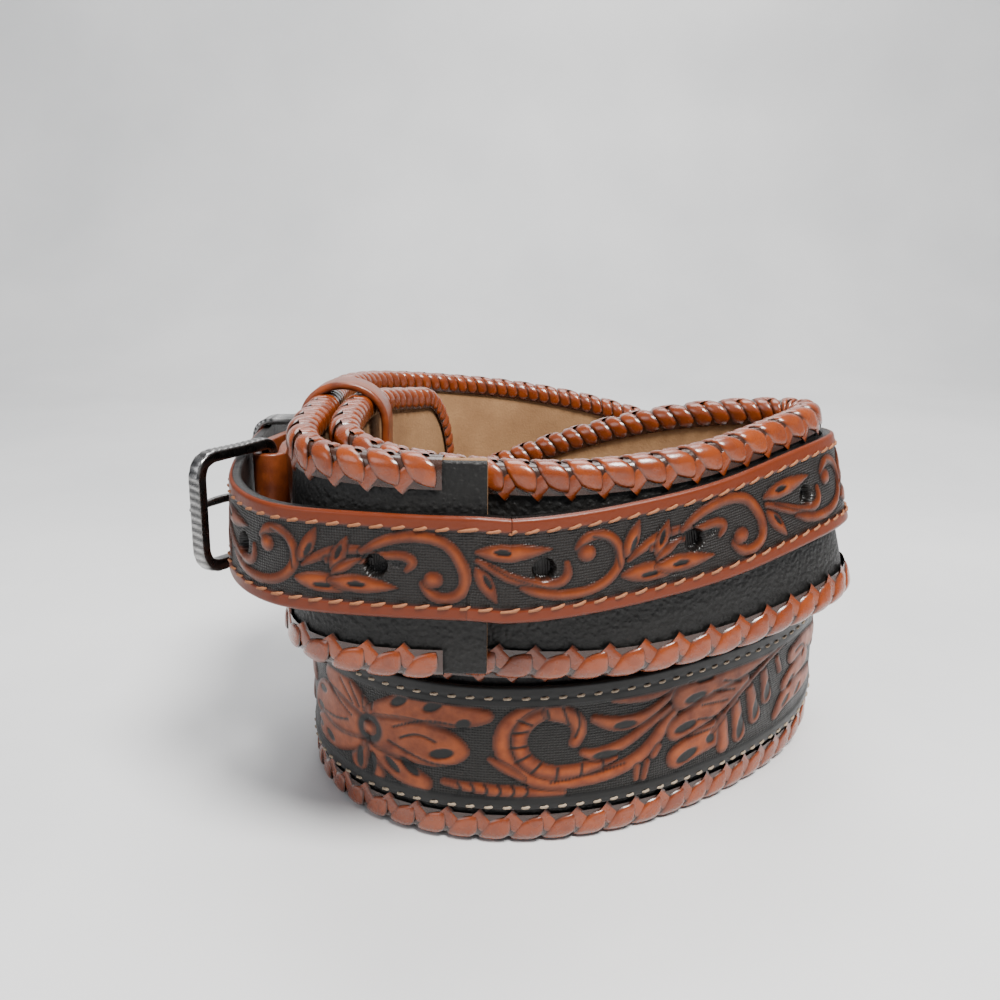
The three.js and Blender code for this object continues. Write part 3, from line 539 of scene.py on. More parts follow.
# One family of strands: a centre line across the chart, a half width and a domed, tilted height.
def strands(path, starts, family):
    rows, columns = family["grid"]
    p = np.linspace(0, 1, rows) ** 0.9
    q = np.linspace(-1, 1, columns)
    run, climb = family["run"], family["climb"]
    norm = math.hypot(run, climb)
    taper = np.interp(p, family["widthAt"], family["width"])
    nose = (1 - np.clip((p - family["noseFrom"]) / (1 - family["noseFrom"]), 0, 1) ** 1.4) ** 0.8
    half = taper * np.maximum(nose, 0.02)
    bow = family.get("bow", 0.0) * np.sin(np.pi * p)
    chartAlong = run * p[:, None] + q[None, :] * half[:, None] * climb / norm + bow[:, None]
    chartAround = family["from"] + climb * p[:, None] - q[None, :] * half[:, None] * run / norm
    dome = np.sqrt(np.clip(1 - np.abs(q) ** 2.6, 0, 1))[None, :]
    endDrop = np.clip((1 - p) / 0.12, 0, 1)[:, None] ** 0.5
    height = family["base"] + family["dome"] * dome * endDrop + family["tilt"] * q[None, :] * endDrop
    # The tone is painted shade: full colour on the strand's crown, darker towards its edges and where it tucks
    # under, scaled by each family's tone.
    tone = np.clip(dome * 1.7 - 0.25, 0, 1) * (0.35 + 0.65 * endDrop) * family["tone"]
    along = starts[:, None, None] + chartAlong[None]
    points = overEdge(path, along, np.broadcast_to(chartAround, along.shape),
                      np.broadcast_to(height, along.shape))
    vary = np.random.default_rng(family["seed"]).random(len(starts))
    return {"points": points, "tone": np.broadcast_to(tone, along.shape),
            "vary": np.broadcast_to(vary[:, None, None], along.shape)}


# One edge's braid: leaves outside, foot pieces at their points, ribs inside and a dark core beneath, which paints
# shade into the gaps between strands.
def buildLacing(name, node, sign, seed):
    path = edgePath(sign)
    total = path["length"][-1]
    pitch = total / round(total / lacing["pitch"])
    starts = np.arange(round(total / pitch)) * pitch
    # Each family's tone scales its painted shade: the feet and the ribs on the inner face are painted darker than
    # the leaves.
    families = [
        {"grid": lacing["leafGrid"], "run": 4.8, "climb": 7.3, "from": 0.1, "widthAt": [0, 0.5, 1],
         "width": [1.5, 2.3, 2.25], "noseFrom": 0.66, "bow": -0.3, "base": 0.42, "dome": 0.46, "tilt": 0.12,
         "tone": 1.0, "seed": seed, "half": 1},
        {"grid": lacing["footGrid"], "run": 4.0, "climb": -4.0, "from": 7.6, "widthAt": [0, 1],
         "width": [1.9, 1.6], "noseFrom": 0.7, "base": 0.05, "dome": 0.45, "tilt": 0.0, "tone": 0.9, "seed": seed + 1, "half": 1,
         "offset": 4.2},
        {"grid": lacing["ribGrid"], "run": -2.6, "climb": -7.6, "from": 0.9, "widthAt": [0, 0.3, 1],
         "width": [0.9, 1.4, 1.45], "noseFrom": 0.85, "base": 0.3, "dome": 0.5, "tilt": 0.1, "tone": 0.85,
         "seed": seed + 2, "half": 2},
    ]
    points, quads, paintedShadeTones, varies, start = [], [], [], [], 0
    for family in families:
        rows, columns = family["grid"]
        repeats = (starts[:, None] + np.arange(family["half"]) * pitch / family["half"]).ravel()
        repeats = repeats + family.get("offset", 0.0)
        repeats = repeats[repeats < total - 2.2]
        made = strands(path, repeats, family)
        points.append(made["points"].reshape(-1, 3))
        paintedShadeTones.append(made["tone"].ravel())
        varies.append(made["vary"].ravel())
        one = gridQuads(rows, columns)
        count = rows * columns
        quads.append((np.arange(len(repeats))[:, None, None] * count + one[None]).reshape(-1, 4) + start)
        start += len(repeats) * count
    # The dark core under the strands, a little above the leather: painted shade showing in the gaps between strands.
    along, around = np.meshgrid(np.linspace(0, total, 700), np.linspace(-6.7, 7.8, 15), indexing="ij")
    core = overEdge(path, along, around, np.full(along.shape, 0.3))
    points.append(core.reshape(-1, 3))
    quads.append(gridQuads(*along.shape, start=start))
    paintedShadeTones.append(np.full(core.shape[0] * core.shape[1], 0.05))
    varies.append(np.full(core.shape[0] * core.shape[1], 0.5))
    piece = addMesh(name, np.vstack(points), np.vstack(quads),
                    {"tone": np.concatenate(paintedShadeTones), "vary": np.concatenate(varies)})
    finishPiece(piece, laceLeather, [node])


buildLacing("upperLacing", "upper_lacing", 1, 3)
buildLacing("lowerLacing", "lower_lacing", -1, 11)


# Zero to one between two values: t squared times (3 - 2t).
def smoothStep(low, high, value):
    t = np.clip((value - low) / (high - low), 0, 1)
    return t * t * (3 - 2 * t)


# Signed gap from chart spots to a stroke of changing half width: nearest of distance minus half width.
def strokeGap(s, u, control, steps=10):
    samples = smoothRows(control, steps) if len(control) > 2 else np.linspace(control[0], control[1], 12)
    gap = np.full(s.shape, 1e3)
    share = np.zeros(s.shape)
    for index, (cs, cu, cw) in enumerate(samples):
        here = np.hypot(s - cs, u - cu) - cw
        nearer = here < gap
        gap = np.where(nearer, here, gap)
        share = np.where(nearer, index / (len(samples) - 1), share)
    return gap, share


# A punched oval: one minus the distance from its middle in units of its half axes, made dark and sunk.
def carveOval(fields, s, u, length, width, tilt):
    near = (np.abs(fields["s"] - s) < length) & (np.abs(fields["u"] - u) < length)
    across, upward = math.cos(math.radians(tilt)), math.sin(math.radians(tilt))
    ds, du = fields["s"][near] - s, fields["u"][near] - u
    away = np.hypot((ds * across + du * upward) / (length / 2), (du * across - ds * upward) / (width / 2))
    pit = smoothStep(1.12, 0.82, away)
    fields["cut"][near] = np.maximum(fields["cut"][near], pit)
    fields["height"][near] -= pit * 0.5 * fields["rise"]


# Draws raised figures, cuts and punched ovals in order onto the chart fields.
def carve(fields, elements):
    s, u = fields["s"], fields["u"]
    for kind, shape in elements:
        if kind == "oval":
            carveOval(fields, *shape)
            continue
        control = np.array(shape, float)
        reach = control[:, 2].max() + 2.0
        near = ((s > control[:, 0].min() - reach) & (s < control[:, 0].max() + reach)
                & (u > control[:, 1].min() - reach) & (u < control[:, 1].max() + reach))
        if not near.any():
            continue
        gap, share = strokeGap(s[near], u[near], control)
        if kind == "leaf":
            inside = smoothStep(0.12, -0.12, gap)
            rim = np.exp(-((gap - 0.22) / 0.2) ** 2)
            dome = 0.55 + 0.45 * smoothStep(0.0, -1.2, gap)
            fields["tone"][near] = fields["tone"][near] * (1 - inside) + inside
            fields["height"][near] = fields["height"][near] * (1 - inside) + inside * dome * fields["rise"]
            fields["height"][near] -= rim * 0.3 * fields["rise"]
            fields["cut"][near] = np.maximum(fields["cut"][near] * (1 - inside), 0.85 * rim * (gap > -0.05))
            deep = 0.85 * smoothStep(-1.3, -0.05, gap) * inside
            fields["deep"][near] = fields["deep"][near] * (1 - inside) + deep
        elif kind == "cut":
            groove = smoothStep(0.28, -0.1, gap)
            fields["cut"][near] = np.maximum(fields["cut"][near], groove)
            fields["height"][near] -= groove * 0.45 * fields["rise"]


# A pointed leaf from a start, an angle, a length and a half width, widest at two fifths.
def leafShape(s, u, angle, length, width):
    across, upward = math.cos(math.radians(angle)), math.sin(math.radians(angle))
    shares = ((0, 0.25), (0.15, 0.75), (0.4, 1.0), (0.7, 0.7), (0.92, 0.25), (1.0, 0.05))
    return [(s + t * length * across, u + t * length * upward, width * w) for t, w in shares]


# Overlay figures on the chart: distance along the belt, height on its width and half width, in drawing order.
overlayPeriod = 138.0
overlayLeaves = [
    [(569, -4, 1.6), (567.5, -8, 2.2)],
    [(571.5, -4, 1.2), (572.5, -9, 1.6)],
    [(567, -4, 2), (560, -6.5, 3), (554, -6, 3)],
    [(569, 3, 2), (565, 6, 3), (558, 6.5, 2.5)],
    [(568, -0.5, 2.5), (560, 0, 4.5), (554, 1, 3.6), (551, -2, 2.5)],
    [(572, -4, 2), (577, -7, 2.8), (582, -8.5, 1.8)],
    [(572, 3, 2.5), (578, 6, 3.5), (585, 6.5, 3), (591, 6.2, 2.2), (593.5, 6.5, 1.4)],
    [(573, -0.3, 3.5), (580, -0.2, 4.8), (586, -0.6, 4.2), (589, -1, 1.6)],
    [(586, -7.6, 0.8), (593, -8.4, 1.3), (600, -8.8, 1.2), (607, -9, 1.0)],
    [(606, 8.2, 1.2), (600, 7.6, 1.5), (596.6, 4.5, 1.5), (595.9, 0.5, 1.5), (597.5, -3.5, 1.5), (601, -6, 1.5),
     (605, -7.2, 1.5), (612, -7.3, 1.5), (619, -6, 1.5), (624, -3.5, 1.5), (627.5, 0.5, 1.5), (631, 5, 1.4),
     (632.5, 8, 1)],
    [(606, 7.4, 1), (602.5, 6.8, 1.4), (599.8, 4.2, 1.4), (599.2, 1, 1.4), (600.2, -2, 1.4), (602.7, -4.2, 1.4),
     (606, -5.3, 1.4), (611, -5, 1.4), (617, -3.4, 0.9)],
    [(605.5, 7.2, 1.8), (609, 6.3, 1.7), (610.8, 3.5, 1.5), (609.5, 0.8, 1.2)],
    [(594.2, -2.2, 0.5), (597, -4, 1.2), (600, -6, 0.5)],
    [(617, 8.3, 0.6), (621, 7.8, 1), (626, 7.6, 0.8), (631, 8.6, 0.5)],
    [(613.3, 5, 1), (617, 3.2, 1.7), (622, 3.2, 1.5), (626, 5, 1), (631.5, 8.2, 0.7)],
    [(611, -1.5, 0.8), (613.5, -2.6, 1.5), (619, -1.2, 1.2), (624.4, 2, 1), (629, 4.4, 0.7)],
    [(621.8, -6.5, 0.7), (621.7, -8.8, 0.6)],
    [(624, -6, 0.7), (623.3, -9, 0.6)],
    [(625.4, -4.8, 0.8), (626.4, -3.4, 0.8)],
    [(632, 5.6, 2.6), (638, 6.2, 2.4), (645, 6.5, 2.2), (652, 7.5, 1.2), (660, 8.5, 0.6)],
    [(630.8, -0.6, 2.6), (637, 1, 3.2), (643, 2.5, 2.5), (650, 4.5, 1.2)],
    [(631, -6.7, 2.6), (637, -5, 3), (642, -4.5, 3)],
    [(643, -2, 1.5), (643.5, -8, 1.8)],
    [(647, 0, 1.4), (648.5, -7, 2)],
    [(651.5, 2, 1.3), (653.5, -4.5, 2)],
    [(656, 4.5, 1.2), (657.5, -1.5, 1.8)],
    [(661, 6, 0.8), (662.3, 3, 0.9)],
    [(640, -4, 0.35), (645, 0.2, 0.6), (650.6, 3.8, 0.65), (657.2, 6.9, 0.6), (664.4, 8.8, 0.4)],
    [(668, 4.5, 2.2), (673, 5.5, 2.4), (679, 4, 2.5), (685, 2.5, 2)],
    [(665, -1.5, 1.8), (669, 0.5, 2.2), (675, 1, 2.4)],
    [(661.5, -7.5, 1.2), (664, -5, 2.2), (668, -4, 2.6), (674, -4.5, 2.4), (679, -5, 1.8)],
]
overlayCuts = [
    [(576.1, 1.8), (582.2, 4.9), (587.5, 4.4)], [(577.5, -0.1), (581.1, 1.9), (584.4, 0.5)],
    [(575, -1.4), (579.4, -2.8), (583.9, -4.4), (589.4, -4.1)], [(571, 4), (571, 8)],
    [(568.9, 3), (568.3, 7.8)], [(567.8, 3.5), (565, 7.5)], [(566, 3.5), (562, 7.5)],
    [(565.5, 0.8), (559, 3.7), (556, 5.5)], [(564.4, -0.6), (560, -2.1), (555.5, -2.4)],
    [(609.7, 7.4), (610.6, 4.4), (609.4, 1.9)], [(604.4, 7.6), (604.7, 6)], [(607.2, 8), (608.3, 4.5)],
    [(605, -7), (612, -6.3), (619, -5)], [(598.4, 3.2), (600.8, 3.6)], [(597.9, 0.2), (600.5, 0.6)],
    [(598.8, -2.7), (601.2, -1.2)], [(601.5, -5), (603.2, -3)], [(606, -6.7), (606.3, -4.2)],
    [(610.6, -6.4), (610.8, -3.9)], [(615, -5.2), (614.6, -2.8)], [(599.2, 5.9), (601.6, 4.9)],
    [(648, 5), (643, 6.5)], [(646, 3.8), (640, 5)], [(644, 2), (637, 2.8)], [(641.5, -1), (636, 0)],
    [(640, -3), (633.5, -3.2)], [(669, 4.8), (672.5, 5.5), (675, 3.8), (673, 2.2)],
    *[[(588.4 + 2.4 * k, -7.4), (589.2 + 2.4 * k, -8.6), (588.4 + 2.4 * k, -9.8)] for k in range(6)],
]
# Punched ovals: place, length, width and tilt in degrees.
overlayOvals = [
    (585.5, -1.8, 5, 2.2, 15), (589.4, 4.6, 3.3, 2.2, 30), (577.2, 7.4, 4.4, 2, 35), (583.9, 7.6, 4.4, 2, 30),
    (568, -7.2, 5, 2, 90), (571.2, -7.4, 5, 2, 90), (575.8, -6.2, 4.4, 1.6, -40), (579.4, -5.7, 5, 2, -40),
    (554.4, 2, 4, 1.8, 10), (552.8, -2.4, 4, 1.8, 0), (552.2, -6.4, 4, 1.8, 0), (557.8, -6.9, 4, 1.8, -15),
    (615.6, -2.6, 6, 2, 0), (619.2, 3, 5, 1.8, 0), (635.3, 4.9, 6, 2, 5), (632.8, -0.7, 6, 2, 8),
    (633.3, -7, 6, 2.3, 15), (637.8, 8.2, 5, 1.4, 0), (648.6, -5.3, 6, 2.3, 80), (653.6, -2.8, 5.5, 2.2, 80),
    (657.5, 0, 5, 2.2, 80), (639.5, -5.2, 2.6, 2.2, 0), (665.3, -5.4, 4, 1.6, 30), (667.2, -1.5, 4, 1.6, 30),
    (671.1, -5.1, 4, 1.6, 30),
]


# Every figure of one unit, its flower centre last.
def overlayFigures():
    figures = [("leaf", leaf) for leaf in overlayLeaves]
    figures += [("cut", [(s, u, 0.2) for s, u in cut]) for cut in overlayCuts]
    figures += [("oval", oval) for oval in overlayOvals]
    figures += [("oval", (570.4, -0.3, 6.4, 6.4, 0)), ("leaf", [(570.2, -0.3, 1.4), (570.6, -0.3, 1.4)])]
    return figures


# Strap figures from the hole each unit hangs on: (distance from the hole, height, half width).
strapPeriod = 56.0
strapLeavesA = [
    [(-2.3, 2.2, 0.5), (0.2, 3.9, 0.9), (3.7, 5.1, 1), (7.7, 5.5, 1), (11.2, 4.8, 1), (13.2, 3.2, 1), (14.7, 0.3, 1),
     (15.2, -2.4, 1), (14.2, -4.5, 1), (11.7, -5.4, 1), (9.2, -4.8, 1), (8.2, -2.9, 0.9)],
    [(9.5, -2, 1.4), (9.9, -2, 1.4)], [(0.7, 1.7, 0.6), (5.2, 2.2, 0.9), (6.7, 0.8, 0.9), (5.2, -0.6, 0.4)],
    leafShape(-7.5, -1.2, 65, 6.5, 1.3), leafShape(-7.6, -1.8, 30, 6, 0.9), leafShape(-7.8, -3.1, -3, 11.5, 1.7),
]
strapLeavesB = [
    leafShape(-11.5, 3, 2, 13, 1.7), leafShape(-11.3, 0.2, -55, 7, 1.4),
    [(-11.3, 1.5, 0.5), (-7.3, -0.3, 0.9), (-2.3, -2.5, 0.9), (2.2, -2.9, 0.9), (4.2, -1.7, 0.9), (3.9, 0.6, 0.5)],
    [(-3.8, -2.9, 0.4), (-1.3, -4, 0.9), (2.7, -4.9, 0.9), (6.7, -4.9, 0.9), (10.2, -4.1, 0.9), (12.2, -2.6, 0.9),
     (13.7, -0.8, 0.9), (13.5, 2, 0.9), (12.2, 4, 0.9), (9.7, 5, 0.9), (7.2, 4.5, 0.9), (6.2, 3, 0.8)],
    [(7.3, 1.8, 1.4), (7.7, 1.8, 1.4)], leafShape(14.7, 0.1, 62, 6.5, 1.4),
    [(15, -0.9, 0.3), (17.7, 0.8, 0.9), (21.2, 2.2, 1), (24.7, 2.7, 0.8), (27.7, 2.2, 0.3)],
    [(19.7, 0.3, 0.6), (26.7, 0.6, 0.4)], leafShape(13.9, -3.3, -3, 12.3, 1.9),
]
strapCutsB = [[(-9.3, 1), (-4.8, -1.4), (-0.3, -3)], [(8.7, 4.5), (11.7, 3.4), (12.9, 1.1), (13.2, -1.6)]]
strapOvalsA = [(3.5, 0.5, 2, 1, 0), (-3.3, -3.4, 3.4, 1.1, 0), (-6.3, 1.9, 3, 1, 65)]
strapOvalsB = [
    (-7.3, 3.3, 3.4, 1.1, 0), (-9.3, -1.9, 3, 1, -55), (16.2, 1.9, 3, 1, 62), (18.7, -4, 3.6, 1.1, 0),
]


# Rows moved along the chart.
def shifted(rows, step):
    return [(row[0] + step, *row[1:]) for row in rows]


# The two kinds of unit in turn, one pair to each period, from the hole they hang on.
def strapFigures():
    figures = []
    for k in range(-1, 5):
        for first, leaves, cuts, ovals in ((0, strapLeavesA, [], strapOvalsA),
                                           (size["holePitch"], strapLeavesB, strapCutsB, strapOvalsB)):
            at = size["firstHole"] + k * strapPeriod + first
            figures += [("leaf", shifted(leaf, at)) for leaf in leaves]
            figures += [("cut", [(s + at, u, 0.12) for s, u in cut]) for cut in cuts]
            figures += [("oval", oval) for oval in shifted(ovals, at)]
    return figures


overlaySet = {"fineStep": 0.34, "coarseStep": 2.0, "rows": 84, "fineFrom": 500, "top": 8.45, "bottom": -9.95,
              "stitchTop": 10.2, "stitchBottom": -12.0, "stitchPitch": 3.3, "stitchLength": 2.0}
strapSet = {"step": 0.27, "rows": 66, "border": 2.5, "stitchAt": 6.75, "stitchPitch": 3.7,
            "stitchLength": 3.0}


# A carved strip along a rail: a grid over the face whose first and last columns turn down to the back.
def carvedStrip(name, rail, distances, half, inner, outer, rows, fields, material, nodes):
    u = np.linspace(-half, half, rows)
    s, uu = np.meshgrid(distances, u, indexing="ij")
    fields["s"], fields["u"] = s, uu
    for key in ("tone", "height", "cut", "deep", "edge"):
        fields[key] = np.zeros(s.shape)
    fields["draw"](fields)
    roundOff = 0.5 * np.clip((0.5 - (half - np.abs(uu))) / 0.5, 0, 1) ** 2
    top = place(rail, s, uu, outer + fields["height"] - roundOff)
    lift = np.array([0.75, 0.35, 0.0])
    sideUp = place(rail, s[:, :1], uu[:, :1], inner + (outer - inner) * lift[None, ::-1])
    sideDown = place(rail, s[:, -1:], uu[:, -1:], inner + (outer - inner) * lift[None, :])
    back = place(rail, s[:, :1], np.linspace(half, -half, 5)[None, 1:-1], inner)
    points = np.concatenate([sideUp, top, sideDown, back], axis=1)
    count = points.shape[1]

    # Face values with one value for both sides and zero on the back.
    def spread(values, sideValue):
        columns = [np.full((len(s), 3), sideValue), values, np.full((len(s), 3), sideValue),
                   np.full((len(s), 3), 0.0)]
        return np.concatenate(columns, axis=1).ravel()

    chart = np.zeros((len(s), count, 3))
    chart[:, 3:3 + rows, 0], chart[:, 3:3 + rows, 1] = s, uu
    chart[:, :3, 1], chart[:, 3 + rows:, 1] = -half, half
    chart[:, :3, 0], chart[:, 3 + rows:, 0] = s[:, :1], s[:, :1]
    attributes = {"tone": spread(fields["tone"], 0.0), "cut": spread(fields["cut"], fields.get("sideCut", 0.0)),
                  "deep": spread(fields["deep"], 0.5), "edge": spread(fields["edge"], 0.0),
                  "chart": chart.reshape(-1, 3)}
    quads = gridQuads(len(s), count, loopColumns=True)
    return finishPiece(addMesh(name, points, quads, attributes), material, nodes)


# The carved field between two uneven borders; a stitch groove runs along each border.
def drawOverlay(fields):
    u = fields["u"]
    field = smoothStep(-0.15, 0.15, np.minimum(overlaySet["top"] - u, u - overlaySet["bottom"]))
    figures = overlayFigures()
    for turn in (-1, 0, 1, 2):
        step = turn * overlayPeriod
        carve(fields, [(kind, (shape[0] + step, *shape[1:]) if kind == "oval" else shifted(shape, step))
                       for kind, shape in figures])
    for key in ("tone", "cut", "deep"):
        fields[key] *= field
    fields["height"] = fields["height"] * field + (1 - field) * 0.28
    fields["edge"] = 1 - field
    for stitch in (overlaySet["stitchTop"], overlaySet["stitchBottom"]):
        fields["height"] -= np.exp(-((u - stitch) / 0.28) ** 2) * 0.12
    for rim in (overlaySet["top"], overlaySet["bottom"]):
        fields["cut"] = np.maximum(fields["cut"], 0.8 * np.exp(-((u - rim) / 0.2) ** 2))


# The carved overlay, finely drawn where it shows and coarse where other layers hide it.
def buildOverlay():
    first, last = along["overlayFrom"] * beltLength + 2, along["overlayTo"] * beltLength - 2
    distances = np.r_[np.arange(first, overlaySet["fineFrom"], overlaySet["coarseStep"]),
                      np.arange(overlaySet["fineFrom"], last, overlaySet["fineStep"])]
    carvedStrip("tooledOverlay", beltRail, distances, size["overlayWidth"] / 2, size["overlayRest"],
                size["overlayRest"] + size["overlayThickness"] - 0.3, overlaySet["rows"],
                {"draw": drawOverlay, "rise": 0.42}, overlayLeather, ["tooled_overlay"])


# The strap's field between two glossy bands, with its punched holes as pits painted near-black, as painted shade for
# the inside of each hole.
def drawStrap(fields):
    half = size["strapWidth"] / 2
    border = smoothStep(strapSet["border"] + 0.15, strapSet["border"] - 0.15, half - np.abs(fields["u"]))
    carve(fields, strapFigures())
    for key in ("tone", "cut", "deep"):
        fields[key] *= 1 - border
    fields["height"] = fields["height"] * (1 - border) + border * 0.3
    fields["edge"] = border
    crease = np.exp(-((half - np.abs(fields["u"]) - strapSet["border"]) / 0.2) ** 2)
    fields["cut"] = np.maximum(fields["cut"], 0.8 * crease)
    fields["height"] -= crease * 0.15
    # Each hole is sunk and painted near-black through cut, with its figure tone taken out: painted shade for the
    # hole's inside.
    for k in range(size["holeCount"]):
        away = np.hypot(fields["s"] - size["firstHole"] - k * size["holePitch"], fields["u"])
        hole = smoothStep(size["holeRadius"] + 0.15, size["holeRadius"] - 0.25, away)
        fields["cut"] = np.maximum(fields["cut"], hole)
        fields["tone"] *= 1 - hole
        fields["height"] -= hole * 1.9


# The narrow strap, finely drawn all along.
def buildStrap():
    distances = np.arange(0.05, strapRail["total"], strapSet["step"])
    carvedStrip("billetStrap", strapRail, distances, size["strapWidth"] / 2, -size["strapThickness"] / 2,
                size["strapThickness"] / 2 - 0.3, strapSet["rows"],
                {"draw": drawStrap, "rise": 0.4, "sideCut": 0.8}, strapLeather,
                ["billet_strap"])


buildOverlay()
buildStrap()


# Stitches: short bowed capsules along a line on a rail, each with its ends dipping into the leather.
def stitchRow(rail, starts, side, outer, length, radius, sway=0.0):
    p, ring = np.linspace(0, 1, 9), np.linspace(0, 2 * np.pi, 6, endpoint=False)
    swell = np.sqrt(np.clip(1 - (2 * p - 1) ** 4, 0.02, 1))
    lift = 0.5 * radius - 2.2 * radius * np.abs(2 * p - 1) ** 3
    distance = starts[:, None, None] + (p * length)[None, :, None] + 0 * ring[None, None, :]
    twist = 1 + 0.16 * np.cos(2 * ring[None, :] + 9 * p[:, None])
    sideways = side + sway * (2 * p - 1)[:, None] + radius * swell[:, None] * twist * np.cos(ring)[None, :]
    outward = outer + lift[:, None] + radius * 0.85 * swell[:, None] * twist * np.sin(ring)[None, :]
    points = place(rail, distance, np.broadcast_to(sideways, distance.shape),
                   np.broadcast_to(outward, distance.shape))
    one = gridQuads(9, 6, loopColumns=True)
    quads = np.arange(len(starts))[:, None, None] * 54 + one[None]
    return points.reshape(-1, 3), quads.reshape(-1, 4)


# Rows of stitches along one rail, a row for each side given.
def buildStitches(name, rail, first, last, pitch, length, sides, outer, radius, sway, material):
    starts = np.arange(first, last - pitch, pitch)
    parts, links = [], []
    for k, side in enumerate(sides):
        points, quads = stitchRow(rail, starts, side, outer, length, radius, sway)
        parts.append(points)
        links.append(quads + k * len(points))
    finishPiece(addMesh(name, np.vstack(parts), np.vstack(links)), material, [])


buildStitches("overlayStitching", beltRail,
              along["overlayFrom"] * beltLength + 4, along["overlayTo"] * beltLength - 4,
              overlaySet["stitchPitch"], overlaySet["stitchLength"],
              (overlaySet["stitchTop"], overlaySet["stitchBottom"]),
              size["overlayRest"] + size["overlayThickness"] - 0.12, 0.3, 0.12, paleThread)
buildStitches("strapStitching", strapRail, 3, strapRail["total"] - 3, strapSet["stitchPitch"],
              strapSet["stitchLength"], (strapSet["stitchAt"], -strapSet["stitchAt"]),
              size["strapThickness"] / 2 - 0.05, 0.3, 0.3, tanThread)

# buckle, keepers and buckle strap
heelAt = along["heelBar"] * beltLength
heel = {key: railAt(beltRail, np.array([heelAt]), key)[0] for key in ("travel", "out", "up")}
heelCentre = place(beltRail, heelAt, -0.22 * sideRoom, laceRoom + 1.07 * size["heelStandOff"])
swing = math.radians(29)
frameAlong = unit(heel["travel"] * math.cos(swing) + heel["out"] * math.sin(swing))
frameUp = unit(np.array([0, 0, 1.0]) - frameAlong * frameAlong[2])
frameOut = np.cross(frameAlong, frameUp)
buckleSet = {"barWidth": 2.4, "corner": 3.2}


# A closed tube round the frame's loop: sections of half width and half thickness set square to the path.
def buildFrame():
    opening = size["strapWidth"] / 2 + 2 * size["pieceGap"]
    upReach, heelReach = opening + buckleSet["barWidth"] / 2, opening + size["heelBarDiameter"] / 2
    length, corner = size["frameLength"], buckleSet["corner"]
    half = [(0, 0, 1.3, 1.3), (0, heelReach - 1.6, 1.3, 1.3), (0.5, heelReach - 0.5, 1.3, 1.3),
            (1.6, heelReach, 1.3, 1.3), (length * 0.45, (upReach + heelReach) / 2, 1.1, 1.45),
            (length - corner, upReach, 1.2, 1.5), (length - corner * 0.3, upReach - corner * 0.3, 1.2, 1.5),
            (length, upReach - corner, 1.2, 1.5)]
    loop = half + [(length, 0, 1.2, 1.5)] + [(a, -u, w, t) for a, u, w, t in half[:0:-1]]
    loop = np.array(loop)
    rows = []
    for i in range(len(loop)):
        gapTo = np.hypot(*(loop[(i + 1) % len(loop)] - loop[i])[:2])
        steps = max(3, int(gapTo / 0.35))
        t = np.linspace(0, 1, steps, endpoint=False)[:, None]
        rows.append(loop[i] * (1 - t) + loop[(i + 1) % len(loop)] * t)
    path = np.vstack(rows)
    for _ in range(6):
        path = (np.roll(path, 1, 0) + 2 * path + np.roll(path, -1, 0)) / 4
    heading = unit(np.roll(path, -1, 0)[:, :2] - np.roll(path, 1, 0)[:, :2])
    aside = np.stack([heading[:, 1], -heading[:, 0]], -1)
    centre = np.array([length / 2, 0])
    aside *= np.sign(np.sum(aside * (path[:, :2] - centre), axis=1))[:, None]
    ring = np.linspace(0, 2 * np.pi, 28, endpoint=False)
    power = 0.45
    cosine, sine = np.cos(ring), np.sin(ring)
    across = np.sign(cosine) * np.abs(cosine) ** power
    through = np.sign(sine) * np.abs(sine) ** power
    run = np.r_[0, np.cumsum(np.linalg.norm(np.diff(path[:, :2], axis=0), axis=1))]
    shown = path[:, 0] > 2.5
    twist = np.sin(run[:, None] * 2 * np.pi / 1.5 + 2.5 * sine[None, :])
    rope = 0.16 * np.maximum(0, cosine)[None, :] ** 2 * (0.5 + 0.5 * twist) * shown[:, None]
    wave = np.sin(run[:, None] * 2.1) * np.cos(across[None, :] * 5)
    scroll = 0.07 * np.maximum(0, sine)[None, :] ** 2 * wave
    outwards = path[:, 2:3] * across[None, :] * 0.98 + rope - 0.08
    raised = path[:, 3:4] * through[None, :] * 0.98 + scroll * shown[:, None]
    spot = (heelCentre + (path[:, 0:1] + aside[:, 0:1] * outwards)[..., None] * frameAlong
            + (path[:, 1:2] + aside[:, 1:2] * outwards)[..., None] * frameUp + raised[..., None] * frameOut)
    tone = np.clip(0.2 + rope * 5 + scroll * 6, 0, 1)
    piece = addMesh("buckleFrame", spot.reshape(-1, 3), gridQuads(len(path), len(ring), True, True),
                    {"tone": tone.ravel()})
    finishPiece(piece, gunmetal, ["buckle_frame"])


# A round rod along control points in millimetres.
def rodPoints(controls, radiusAt, around=14, steps=8):
    path = smoothRows(controls, steps)
    travel = unit(np.gradient(path, axis=0))
    sideways = unit(np.cross(travel, frameUp))
    other = np.cross(sideways, travel)
    ring = np.linspace(0, 2 * np.pi, around, endpoint=False)
    share = np.linspace(0, 1, len(path))
    radius = np.interp(share, *radiusAt)
    points = (path[:, None] + sideways[:, None] * (radius[:, None] * np.cos(ring))[..., None]
              + other[:, None] * (radius[:, None] * np.sin(ring))[..., None])
    ends = [np.repeat(path[:1, None], around, 1), points, np.repeat(path[-1:, None], around, 1)]
    return np.vstack(ends)


